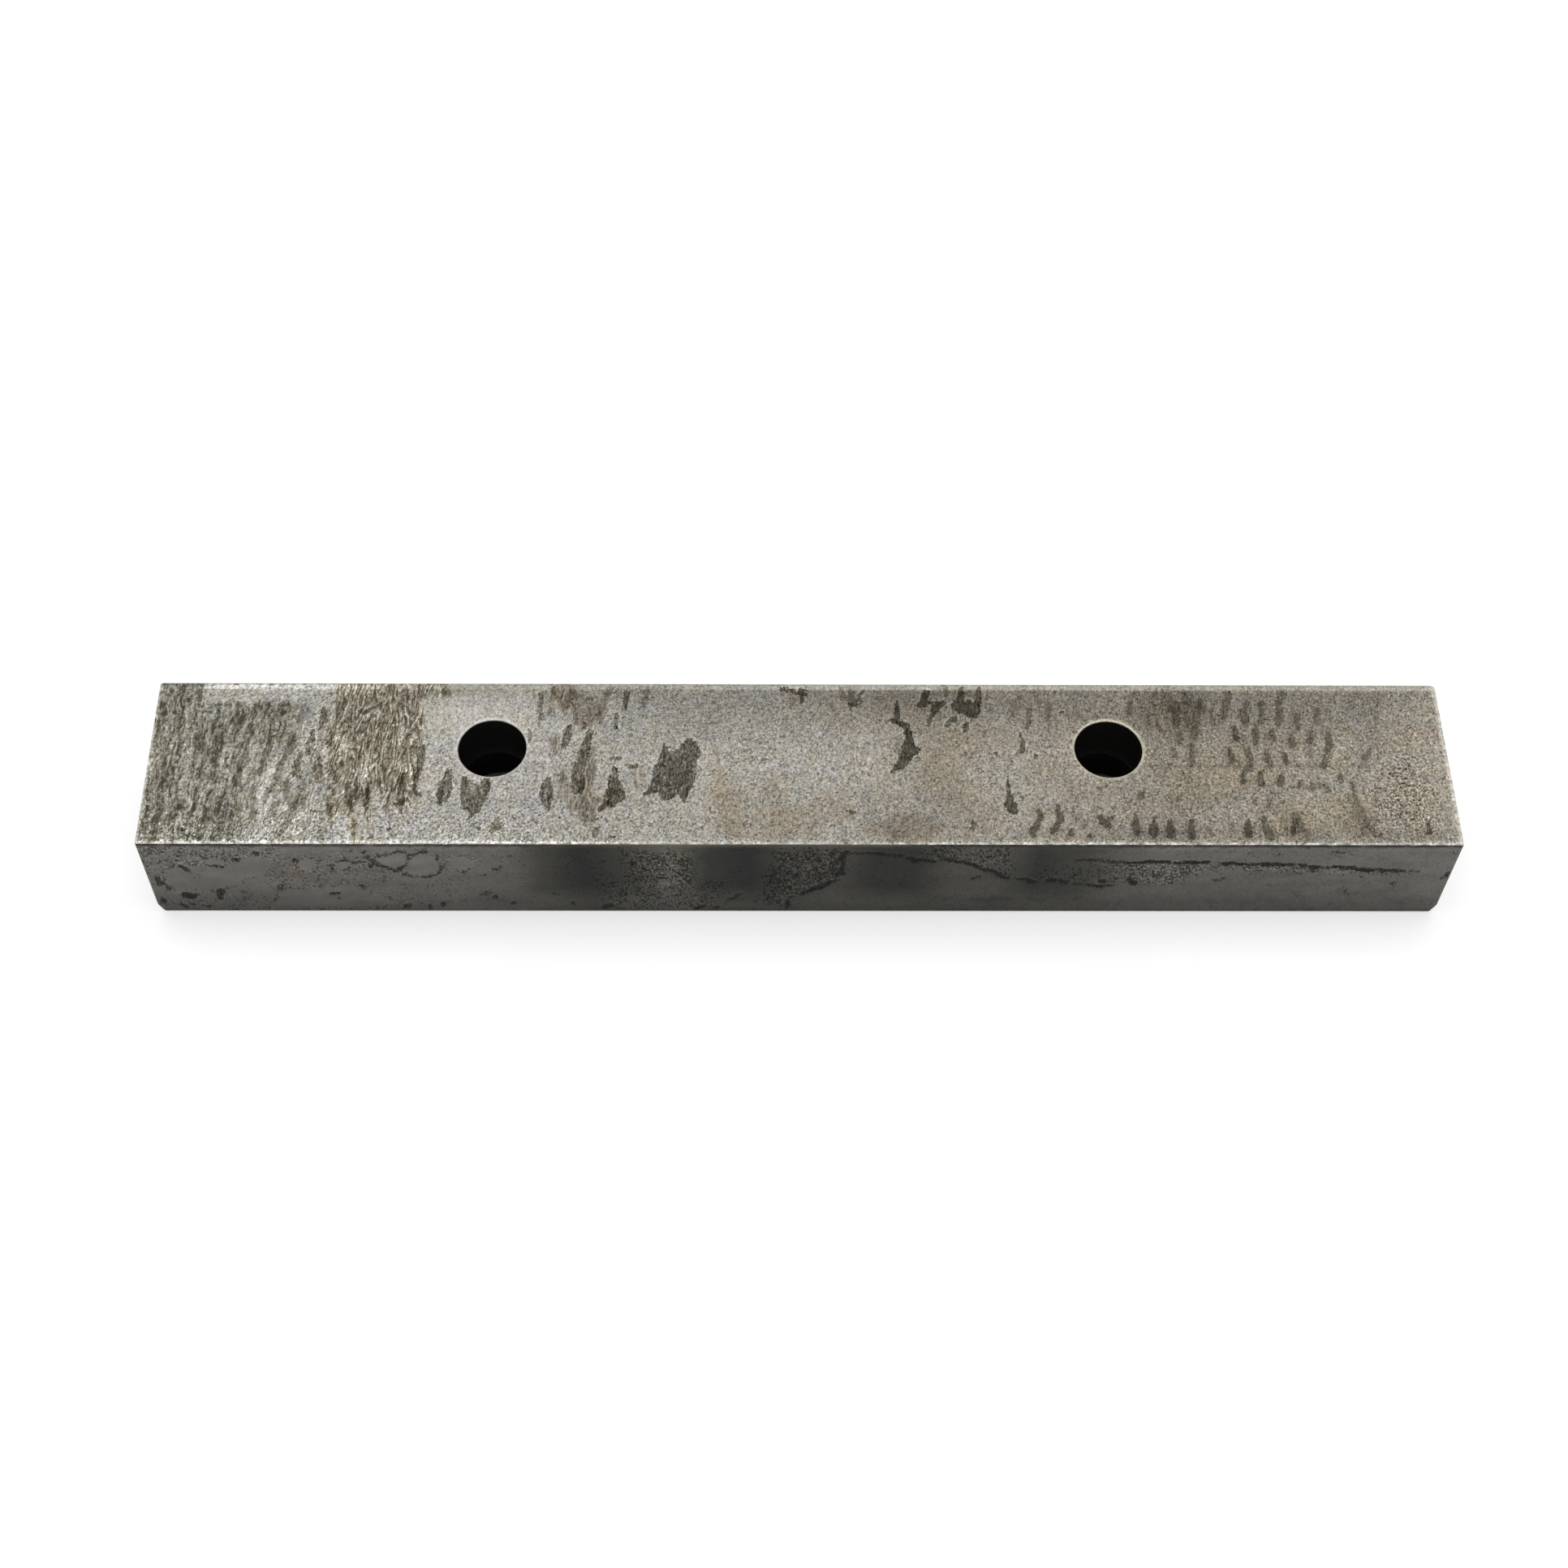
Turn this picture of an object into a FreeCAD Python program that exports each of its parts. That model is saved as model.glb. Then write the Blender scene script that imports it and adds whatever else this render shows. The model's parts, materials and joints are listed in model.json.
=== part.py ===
"""Machinable soft jaw for a machine vice.

One plain bar of mild steel with two screw holes. It lies on its clamping face, as it does on a bench,
so its mounting face looks up.

Frame, in millimetres: X along the jaw, Y across it from the front side to the back side, +Z up.
The origin is on the clamping face, at the middle of the bar.
"""

import FreeCAD
import Part
import Sketcher

import os

# Every driving dimension, in millimetres: alias, value, what it is.
SIZES = (
    ("jaw_length", 127.0, "end to end, 5 in"),
    ("jaw_height", 19.05, "front side to back side, 3/4 in bar"),
    ("jaw_thickness", 12.7, "clamping face to mounting face, 1/2 in bar"),
    ("hole_spacing", 60.325, "between the two screw holes, 2 3/8 in"),
    ("hole_line_setback", 8.0, "hole centres from the back side"),
    ("screw_hole_diameter", 6.6, "clearance hole for an M6 screw"),
    ("head_seat_diameter", 11.0, "counterbore for the head of an M6 screw"),
    ("head_seat_depth", 7.0, "counterbore from the clamping face, deep enough to leave stock to machine"),
    ("back_edge_radius", 0.5, "rounded long edge between mounting face and back side"),
    ("left_corner_radius", 0.4, "upright corner at the back, left end"),
    ("right_corner_radius", 0.9, "upright corner at the back, right end"),
    ("foot_chamfer_run", 0.5, "chamfer at the clamping face's ends, along the jaw"),
    ("foot_chamfer_rise", 1.35, "the same chamfer, up the end face"),
    ("edge_break", 0.2, "filed break along the mounting face's front and end edges"),
    ("clamping_edge_break", 0.3, "filed break along the clamping face's long edges"),
    ("hole_break", 0.15, "filed break round each screw hole in the mounting face"),
    ("seat_break", 0.25, "filed break round each head seat in the clamping face"),
)

HAIR = 1e-3  # how near two lengths are when they count as the same


def make_sheet(doc):
    """The spreadsheet that holds every driving dimension."""
    sheet = doc.addObject("Spreadsheet::Sheet", "Sizes")
    for row, (alias, value, note) in enumerate(SIZES, start=1):
        sheet.set(f"A{row}", alias)
        sheet.set(f"B{row}", str(value))
        sheet.set(f"C{row}", note)
        sheet.setAlias(f"B{row}", alias)
    doc.recompute()
    return sheet


def origin_plane(body, role):
    """One of the body's own origin planes, by its role."""
    return next(f for f in body.Origin.OriginFeatures if f.Role == role)


def new_sketch(body, name, role):
    """An empty sketch on one of the body's origin planes."""
    sketch = body.newObject("Sketcher::SketchObject", name)
    sketch.AttachmentSupport = [(origin_plane(body, role), "")]
    sketch.MapMode = "FlatFace"
    return sketch


def bind(sketch, constraint, name, formula):
    """Adds a named dimension to a sketch and binds it to the sheet."""
    index = sketch.addConstraint(constraint)
    sketch.renameConstraint(index, name)
    sketch.setExpression(f"Constraints.{name}", formula)


def add_outline(sketch, points):
    """A closed polygon of straight lines through these points, its corners joined."""
    corners = [FreeCAD.Vector(x, y, 0) for x, y in points]
    first = sketch.GeometryCount
    count = len(corners)
    for i in range(count):
        sketch.addGeometry(Part.LineSegment(corners[i], corners[(i + 1) % count]), False)
    for i in range(count):
        sketch.addConstraint(Sketcher.Constraint("Coincident", first + i, 2, first + (i + 1) % count, 1))
    return first


def bar_section(body, sheet):
    """The bar's section: a rectangle that stands on the origin, drawn across the jaw."""
    half = sheet.jaw_height / 2
    top = sheet.jaw_thickness
    sketch = new_sketch(body, "bar_section", "YZ_Plane")
    add_outline(sketch, [(-half, 0), (half, 0), (half, top), (-half, top)])
    for line, direction in ((1, "Vertical"), (2, "Horizontal"), (3, "Vertical")):
        sketch.addConstraint(Sketcher.Constraint(direction, line))
    sketch.addConstraint(Sketcher.Constraint("PointOnObject", 0, 1, -1))
    sketch.addConstraint(Sketcher.Constraint("Symmetric", 0, 1, 0, 2, -2))
    bind(sketch, Sketcher.Constraint("DistanceX", 0, 1, 0, 2, 2 * half), "height", "Sizes.jaw_height")
    bind(sketch, Sketcher.Constraint("DistanceY", 1, 1, 1, 2, top), "thickness", "Sizes.jaw_thickness")
    return sketch


def make_bar(body, sheet):
    """The plain bar, half its length each side of the origin."""
    bar = body.newObject("PartDesign::Pad", "bar")
    bar.Profile = bar_section(body, sheet)
    bar.Midplane = True
    bar.setExpression("Length", "Sizes.jaw_length")
    return bar


def hole_centres(body, sheet):
    """Two circles on the clamping face that give the screw holes their places."""
    half_spacing = sheet.hole_spacing / 2
    line = sheet.jaw_height / 2 - sheet.hole_line_setback
    sketch = new_sketch(body, "hole_centres", "XY_Plane")
    for side in (-1, 1):
        centre = FreeCAD.Vector(side * half_spacing, line, 0)
        sketch.addGeometry(Part.Circle(centre, FreeCAD.Vector(0, 0, 1), sheet.screw_hole_diameter / 2), False)
    sketch.addConstraint(Sketcher.Constraint("Equal", 0, 1))
    sketch.addConstraint(Sketcher.Constraint("Horizontal", 0, 3, 1, 3))
    bind(sketch, Sketcher.Constraint("DistanceX", -1, 1, 1, 3, half_spacing), "half_spacing", "Sizes.hole_spacing / 2")
    bind(sketch, Sketcher.Constraint("DistanceX", 0, 3, 1, 3, 2 * half_spacing), "spacing", "Sizes.hole_spacing")
    bind(sketch, Sketcher.Constraint("DistanceY", -1, 1, 1, 3, line), "hole_line",
         "Sizes.jaw_height / 2 - Sizes.hole_line_setback")
    bind(sketch, Sketcher.Constraint("Diameter", 0, sheet.screw_hole_diameter), "hole", "Sizes.screw_hole_diameter")
    return sketch


def drill_holes(body, sheet):
    """Clearance holes right through, with a flat counterbore for each screw head in the clamping face."""
    centres = hole_centres(body, sheet)
    body.Document.recompute()
    holes = body.newObject("PartDesign::Hole", "screw_holes")
    holes.Profile = centres
    holes.Reversed = True
    holes.Threaded = False
    holes.DepthType = "ThroughAll"
    holes.DrillPoint = "Flat"
    holes.HoleCutType = "Counterbore"
    holes.HoleCutCustomValues = True
    holes.setExpression("Diameter", "Sizes.screw_hole_diameter")
    holes.setExpression("HoleCutDiameter", "Sizes.head_seat_diameter")
    holes.setExpression("HoleCutDepth", "Sizes.head_seat_depth")
    return holes


def corner_sliver(sketch, across, up, radius, names):
    """What a rounding takes off a square corner at (across, up): two sides and an arc between their ends.

    across and up are (signed distance from the origin, its formula), radius is (length, formula)."""
    x, x_formula = across
    y, y_formula = up
    size, size_formula = radius
    to_x = -1 if x > 0 else 1
    to_y = -1 if y > 0 else 1
    corner = FreeCAD.Vector(x, y, 0)
    along = FreeCAD.Vector(x + to_x * size, y, 0)
    down = FreeCAD.Vector(x, y + to_y * size, 0)
    centre = FreeCAD.Vector(x + to_x * size, y + to_y * size, 0)
    middle = centre - FreeCAD.Vector(to_x, to_y, 0).normalize() * size
    first = sketch.GeometryCount
    sketch.addGeometry(Part.LineSegment(along, corner), False)
    sketch.addGeometry(Part.LineSegment(corner, down), False)
    sketch.addGeometry(Part.Arc(down, middle, along), False)
    arc_start, arc_end = arc_ends(sketch, first + 2, down)
    sketch.addConstraint(Sketcher.Constraint("Horizontal", first))
    sketch.addConstraint(Sketcher.Constraint("Vertical", first + 1))
    sketch.addConstraint(Sketcher.Constraint("Coincident", first, 2, first + 1, 1))
    sketch.addConstraint(Sketcher.Constraint("Tangent", first + 1, 2, first + 2, arc_start))
    sketch.addConstraint(Sketcher.Constraint("Tangent", first, 1, first + 2, arc_end))
    bind(sketch, Sketcher.Constraint("DistanceX", -1, 1, first, 2, x), names[0], x_formula)
    bind(sketch, Sketcher.Constraint("DistanceY", -1, 1, first, 2, y), names[1], y_formula)
    bind(sketch, Sketcher.Constraint("Radius", first + 2, size), names[2], size_formula)


def arc_ends(sketch, index, start):
    """Which of an arc's two ends lies at start, as the sketcher numbers them, and then the other."""
    if sketch.getPoint(index, 1).distanceToPoint(start) < HAIR:
        return 1, 2
    return 2, 1


def cut_away(body, name, sketch):
    """A pocket right through the bar, both ways from its sketch."""
    body.Document.recompute()
    pocket = body.newObject("PartDesign::Pocket", name)
    pocket.Profile = sketch
    pocket.Type = "ThroughAll"
    pocket.Midplane = True
    return pocket


def round_back_edge(body, sheet):
    """The worn long edge between the mounting face and the back side."""
    sketch = new_sketch(body, "back_edge_section", "YZ_Plane")
    corner_sliver(
        sketch, half_of(sheet, "jaw_height", 1), size_of(sheet, "jaw_thickness"),
        size_of(sheet, "back_edge_radius"), ("back_side", "mounting_face", "edge_radius"),
    )
    return cut_away(body, "back_edge", sketch)


def round_back_corners(body, sheet):
    """The two upright corners at the back, rounded by different amounts."""
    sketch = new_sketch(body, "back_corner_plan", "XY_Plane")
    for side, end in ((-1, "left"), (1, "right")):
        corner_sliver(
            sketch, half_of(sheet, "jaw_length", side), half_of(sheet, "jaw_height", 1),
            size_of(sheet, f"{end}_corner_radius"), (f"{end}_end", f"{end}_back_side", f"{end}_radius"),
        )
    return cut_away(body, "back_corners", sketch)


def corner_wedge(sketch, across, up, run, rise, names):
    """What a chamfer takes off a square corner at (across, up): a triangle with its square corner there.

    Each of across, up, run and rise is (length, its formula); names are for the four dimensions."""
    x, x_formula = across
    y, y_formula = up
    to_x = -1 if x > 0 else 1
    to_y = -1 if y > 0 else 1
    first = add_outline(sketch, [(x, y), (x + to_x * run[0], y), (x, y + to_y * rise[0])])
    sketch.addConstraint(Sketcher.Constraint("Horizontal", first))
    sketch.addConstraint(Sketcher.Constraint("Vertical", first + 2))
    bind(sketch, Sketcher.Constraint("DistanceX", -1, 1, first, 1, x), names[0], x_formula)
    if y == 0:
        sketch.addConstraint(Sketcher.Constraint("PointOnObject", first, 1, -1))
    else:
        bind(sketch, Sketcher.Constraint("DistanceY", -1, 1, first, 1, y), names[1], y_formula)
    bind(sketch, Sketcher.Constraint("Distance", first, run[0]), names[2], run[1])
    bind(sketch, Sketcher.Constraint("Distance", first + 2, rise[0]), names[3], rise[1])


def size_of(sheet, alias):
    """A sheet size with its formula, for a sketch dimension."""
    return getattr(sheet, alias), f"Sizes.{alias}"


def half_of(sheet, alias, side):
    """Half a sheet size to one side of the origin, with its formula."""
    return side * getattr(sheet, alias) / 2, f"{side} * Sizes.{alias} / 2"


def break_ends(body, sheet):
    """Chamfers across the jaw at its two ends: large ones at the clamping face, filed ones on top."""
    sketch = new_sketch(body, "end_edge_section", "XZ_Plane")
    for side, end in ((-1, "left"), (1, "right")):
        end_face = half_of(sheet, "jaw_length", side)
        corner_wedge(
            sketch, end_face, (0, "0"),
            size_of(sheet, "foot_chamfer_run"), size_of(sheet, "foot_chamfer_rise"),
            (f"{end}_foot", "", f"{end}_foot_run", f"{end}_foot_rise"),
        )
        corner_wedge(
            sketch, end_face, size_of(sheet, "jaw_thickness"),
            size_of(sheet, "edge_break"), size_of(sheet, "edge_break"),
            (f"{end}_end", f"{end}_top", f"{end}_end_run", f"{end}_end_rise"),
        )
    return cut_away(body, "end_edges", sketch)


def break_long_edges(body, sheet):
    """Filed breaks along the jaw: both long edges of the clamping face, and the mounting face's front edge."""
    sketch = new_sketch(body, "long_edge_section", "YZ_Plane")
    for side, name in ((-1, "front"), (1, "back")):
        corner_wedge(
            sketch, half_of(sheet, "jaw_height", side), (0, "0"),
            size_of(sheet, "clamping_edge_break"), size_of(sheet, "clamping_edge_break"),
            (f"{name}_foot", "", f"{name}_foot_run", f"{name}_foot_rise"),
        )
    corner_wedge(
        sketch, half_of(sheet, "jaw_height", -1), size_of(sheet, "jaw_thickness"),
        size_of(sheet, "edge_break"), size_of(sheet, "edge_break"),
        ("front_side", "front_top", "front_run", "front_rise"),
    )
    return cut_away(body, "long_edges", sketch)


def break_rims(body, name, height, diameter, alias):
    """A filed break round both circles of this diameter at this height."""
    body.Document.recompute()
    base = body.Tip

    def is_rim(box):
        at_height = abs(box.ZMin - height) < HAIR and abs(box.ZMax - height) < HAIR
        return at_height and abs(box.XLength - diameter) < HAIR

    rims = [f"Edge{i}" for i, edge in enumerate(base.Shape.Edges, start=1) if is_rim(edge.BoundBox)]
    chamfer = body.newObject("PartDesign::Chamfer", name)
    chamfer.Base = (base, rims)
    chamfer.setExpression("Size", f"Sizes.{alias}")
    return chamfer


def make_jaw(doc, sheet):
    """The whole jaw: the bar, its rounded back, its broken edges and its screw holes."""
    body = doc.addObject("PartDesign::Body", "soft_jaw")
    body.Label = "soft_jaw"
    make_bar(body, sheet)
    round_back_edge(body, sheet)
    round_back_corners(body, sheet)
    break_ends(body, sheet)
    break_long_edges(body, sheet)
    drill_holes(body, sheet)
    break_rims(body, "hole_rims", sheet.jaw_thickness, sheet.screw_hole_diameter, "hole_break")
    break_rims(body, "seat_rims", 0, sheet.head_seat_diameter, "seat_break")
    return body


def check(doc, nodes):
    """Stops the build if anything in the document failed, or a sub-part has no valid solid."""
    for item in doc.Objects:
        if "Invalid" in item.State or "Error" in item.State:
            raise RuntimeError(f"{item.Label} failed: {item.State}")
    for node in nodes:
        shape = node.Shape
        if shape.isNull() or not shape.isValid() or len(shape.Solids) != 1:
            raise RuntimeError(f"{node.Label} isn't one valid solid")


def main():
    doc = FreeCAD.newDocument("soft_jaw")
    sheet = make_sheet(doc)
    nodes = [make_jaw(doc, sheet)]
    doc.recompute()
    check(doc, nodes)
    os.makedirs("parts", exist_ok=True)
    for node in nodes:
        node.Shape.exportStep(f"parts/{node.Label}.step")
        box = node.Shape.BoundBox
        print(f"{node.Label}: {box.XLength:.2f} x {box.YLength:.2f} x {box.ZLength:.2f} mm, "
              f"{node.Shape.Volume / 1000:.2f} cm3, {len(node.Shape.Faces)} faces")


main()
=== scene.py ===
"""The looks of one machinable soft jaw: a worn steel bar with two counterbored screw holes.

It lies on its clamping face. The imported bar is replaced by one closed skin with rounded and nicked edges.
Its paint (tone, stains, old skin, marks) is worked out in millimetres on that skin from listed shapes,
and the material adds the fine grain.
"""

import json
import math

import bpy
import numpy as np
from mathutils.geometry import delaunay_2d_cdt
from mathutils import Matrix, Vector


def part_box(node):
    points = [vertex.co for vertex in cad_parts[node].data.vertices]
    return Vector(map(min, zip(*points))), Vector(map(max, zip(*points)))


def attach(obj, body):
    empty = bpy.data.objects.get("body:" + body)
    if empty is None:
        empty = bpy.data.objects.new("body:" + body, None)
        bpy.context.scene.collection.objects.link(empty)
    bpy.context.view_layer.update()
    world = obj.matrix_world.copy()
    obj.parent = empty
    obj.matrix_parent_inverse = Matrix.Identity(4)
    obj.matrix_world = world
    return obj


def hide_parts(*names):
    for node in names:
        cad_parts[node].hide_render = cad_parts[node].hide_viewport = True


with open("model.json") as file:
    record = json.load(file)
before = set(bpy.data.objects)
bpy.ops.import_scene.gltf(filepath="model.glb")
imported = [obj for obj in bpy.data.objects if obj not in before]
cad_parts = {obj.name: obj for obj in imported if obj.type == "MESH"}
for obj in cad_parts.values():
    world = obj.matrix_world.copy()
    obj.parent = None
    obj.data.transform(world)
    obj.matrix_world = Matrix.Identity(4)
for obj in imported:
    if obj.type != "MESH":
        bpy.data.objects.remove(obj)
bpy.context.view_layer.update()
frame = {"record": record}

# ---------------------------------------------------------------- sizes, in millimetres
MM = 1000.0
NODE, PIECE = "soft_jaw", "jaw_skin"
box_low, box_high = (np.array(corner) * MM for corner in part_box(NODE))
HALF_LENGTH = (box_high[0] - box_low[0]) / 2
HALF_WIDTH = (box_high[1] - box_low[1]) / 2
TOP = box_high[2]
MOUNTS = {mount["name"]: mount for mount in frame["record"]["mounts"]}
HOLES = ("left_screw_hole", "right_screw_hole")
HOLE_CENTRES = [tuple(np.array(MOUNTS[name]["pos_m"][:2]) * MM) for name in HOLES]
HOLE_RADIUS = MOUNTS["left_screw_hole"]["dims"]["r_mm"]
SEAT_RADIUS = MOUNTS["left_head_seat"]["dims"]["r_mm"]
HOLE_BREAK, SEAT_BREAK = 0.15, 0.25
SEAT_DEPTH = MOUNTS["left_head_seat"]["dims"]["length_mm"] + SEAT_BREAK

# Roundings of the long edges and the ends, and the slanted foot of each end
TOP_FRONT_ROUND, TOP_BACK_ROUND, BOTTOM_ROUND = 0.2, 0.5, 0.3
END_ROUND, LEFT_BACK_ROUND, RIGHT_BACK_ROUND = 0.18, 0.4, 0.9
FOOT_RUN, FOOT_RISE = 0.5, 1.35

# Mesh: pitch of the fine, coarse and end grids, points round a hole, and the closer grid lines by the edges
FINE, FRONT_PITCH, COARSE, CAP = 0.25, 0.3, 0.95, 0.45
COARSE_EVERY = 4
RING = 96
NARROW = (0, 0.05, 0.10, 0.16, 0.24, 0.34)
WIDE = (0, 0.06, 0.14, 0.25, 0.38, 0.55)
FOOT = (0, 0.10, 0.20, 0.34)
WINDOW_BY_HOLE, WINDOW_BY_SEAT, RIM_GAP = 0.95, 1.6, 0.12
SLOPE_STEP, SETTLE_TURNS = 0.01, 4
SHARP_ANGLE = 50

# ---------------------------------------------------------------- paint
# tone: how light the steel is, painted light and shade included; brown, olive, red: its stains, and olive
# also tints the painted reflections on the front side; streaks, band, pits: how much there is of the
# streaked, the brown wavy and the pitted skin; grime: fine dark flecks in a stain; cover, strength, hue:
# crisp marks; grain: how grainy it is; relief: height in millimetres. Each group is one mesh attribute.
PAINT_GROUPS = {
    "steel": ("tone", "brown", "olive", "red"),
    "skin": ("streaks", "band", "pits", "grime"),
    "marks": ("cover", "strength", "hue", "grain"),
}
PAINT_LAYERS = (*(layer for group in PAINT_GROUPS.values() for layer in group), "relief")
START_TONE, START_GRAIN = 0.3, 0.5
MARK_REACH, MARK_SWELL, MARK_BLUR = 1.2, 0.07, 0.25

# How the paint changes along the jaw: (x, value) stops
# Mounting face tone along the jaw: lighter to the left, partly as painted light falling off to the right
TOP_TONE_AND_FALLOFF = [
    (-63.5, 0.36), (-45, 0.37), (-31, 0.375), (-24, 0.335), (-14, 0.325), (4, 0.33), (13, 0.255), (20, 0.285),
    (27, 0.27), (36, 0.26), (46, 0.285), (57, 0.29), (63.5, 0.33)]
TOP_TO_FRONT = [
    (-63.5, 0.1), (-51, 0.14), (-42, -0.08), (-34, -0.1), (-10, -0.06), (4, -0.16), (13, -0.12), (25, -0.04),
    (37, -0.06), (63.5, 0)]
# Painted shade from the jaw behind, darkening the back of the mounting face
TOP_BACK_JAW_SHADE = [
    (-63.5, -0.14), (-45, -0.18), (-34, -0.02), (-10, -0.1), (4, -0.26), (13, -0.28), (20, -0.2), (27, -0.1),
    (37, -0.06), (63.5, -0.16)]
# Painted highlight along the rounded back edge of the mounting face, by place along the jaw
BACK_SHINE = [(-63.5, 0.1), (-59.5, 0.15), (-58.5, 0.85), (-42, 0.8), (-40, 0.08), (63.5, 0.28)]
# Front side tone along the jaw: darker than the mounting face partly as painted shade, and lower where it
# holds painted reflections of screws
FRONT_TONE_AND_SHADE = [
    (-63.5, 0.12), (-50, 0.125), (-33, 0.12), (-26, 0.087), (-20, 0.052), (-12, 0.102), (-4, 0.048),
    (4, 0.072), (12, 0.058), (20, 0.066), (28, 0.074), (36, 0.106), (45, 0.103), (63.5, 0.12)]
# Painted reflections of screws on the front side: how strongly they darken it along the jaw
FRONT_SCREW_REFLECTIONS = [
    (-28, 0), (-25, 0.6), (-21, 0.95), (-17, 0.6), (-13, 0), (-9, 0.8), (-5, 0.95), (-1, 0.35), (3, 0.4),
    (7, 0.85), (11, 0.85), (15, 0.1), (19, 0.2), (23, 0.85), (27, 0.6), (31, 0)]
# the same up the front side: (height, share)
FRONT_RISE = [(0, 0.42), (0.6, 0.52), (2, 0.66), (4.5, 0.88), (7.5, 1), (11, 1.12), (12.7, 1.3)]
# Width and strength of the painted highlight along the front edge, and of the painted shade line under it
CREST_WIDTH = [(-63.5, 0.46), (-24, 0.44), (-16, 0.3), (6, 0.28), (14, 0.3), (63.5, 0.3)]
CREST_SHINE = [(-63.5, 1), (-24, 1), (-16, 0.7), (6, 0.7), (14, 1), (63.5, 1)]
UNDER_EDGE_SHADE = [(-63.5, 1), (-26, 0.8), (-18, 0.1), (8, 0.1), (14, 0.85), (63.5, 1)]
STREAK_LEAN = [(-63.5, 0.03), (-58, 0.06), (-51, 0.2), (-47, 0.2), (-40, 0.05), (63.5, 0.05)]
# The back side and the ends are darker than the mounting face, like the front side, partly as painted shade
PLAIN_BACK, PLAIN_BOTTOM, PLAIN_ENDS = 0.14, 0.26, 0.15

# Material: small steps that show lit flanks, in millimetres, and the steel's colours at a brightness of 1
SIDE_STEP, BACK_STEP = (0.10, 0.02, 0.02), (0.03, 0.09, 0.14)
NEUTRAL, GREEN = (1.03, 1.0, 0.955, 1), (1.04, 1.0, 0.76, 1)
RUSTY, DARK_RED = (1.17, 1.0, 0.76, 1), (1.6, 0.9, 0.7, 1)
DARKEST = (0.004, 0.004, 0.004)
STREAK_GAIN, BAND_GAIN, DARKEST_GRAIN = 1.25, 1.2, 0.28
THREAD_WIDTH, TINT_POWER, BUMP_HEIGHT = 0.045, 0.62, 0.00005

# Stage, in metres and degrees
LENS, SENSOR, NEAREST = 56.937, 36.0, 0.01
CAMERA_PLACE, CAMERA_TURN = (-0.00549, -0.13542, 0.21305), (33.537, -0.802, -0.432)
SOFT_BOX_WATTS, SOFT_BOX_SIZE, SOFT_BOX_PLACE = 1.4, (0.7, 0.4), (0.0, 0.12, 0.70)
SKY, FLOOR_GLOW, FLOOR_GREY, FLOOR_REACH = 0.55, 0.50, 0.8, 3.0
GLOW_FADE = (-0.0006, -0.0002)
WHITE = (1, 1, 1, 1)


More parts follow.
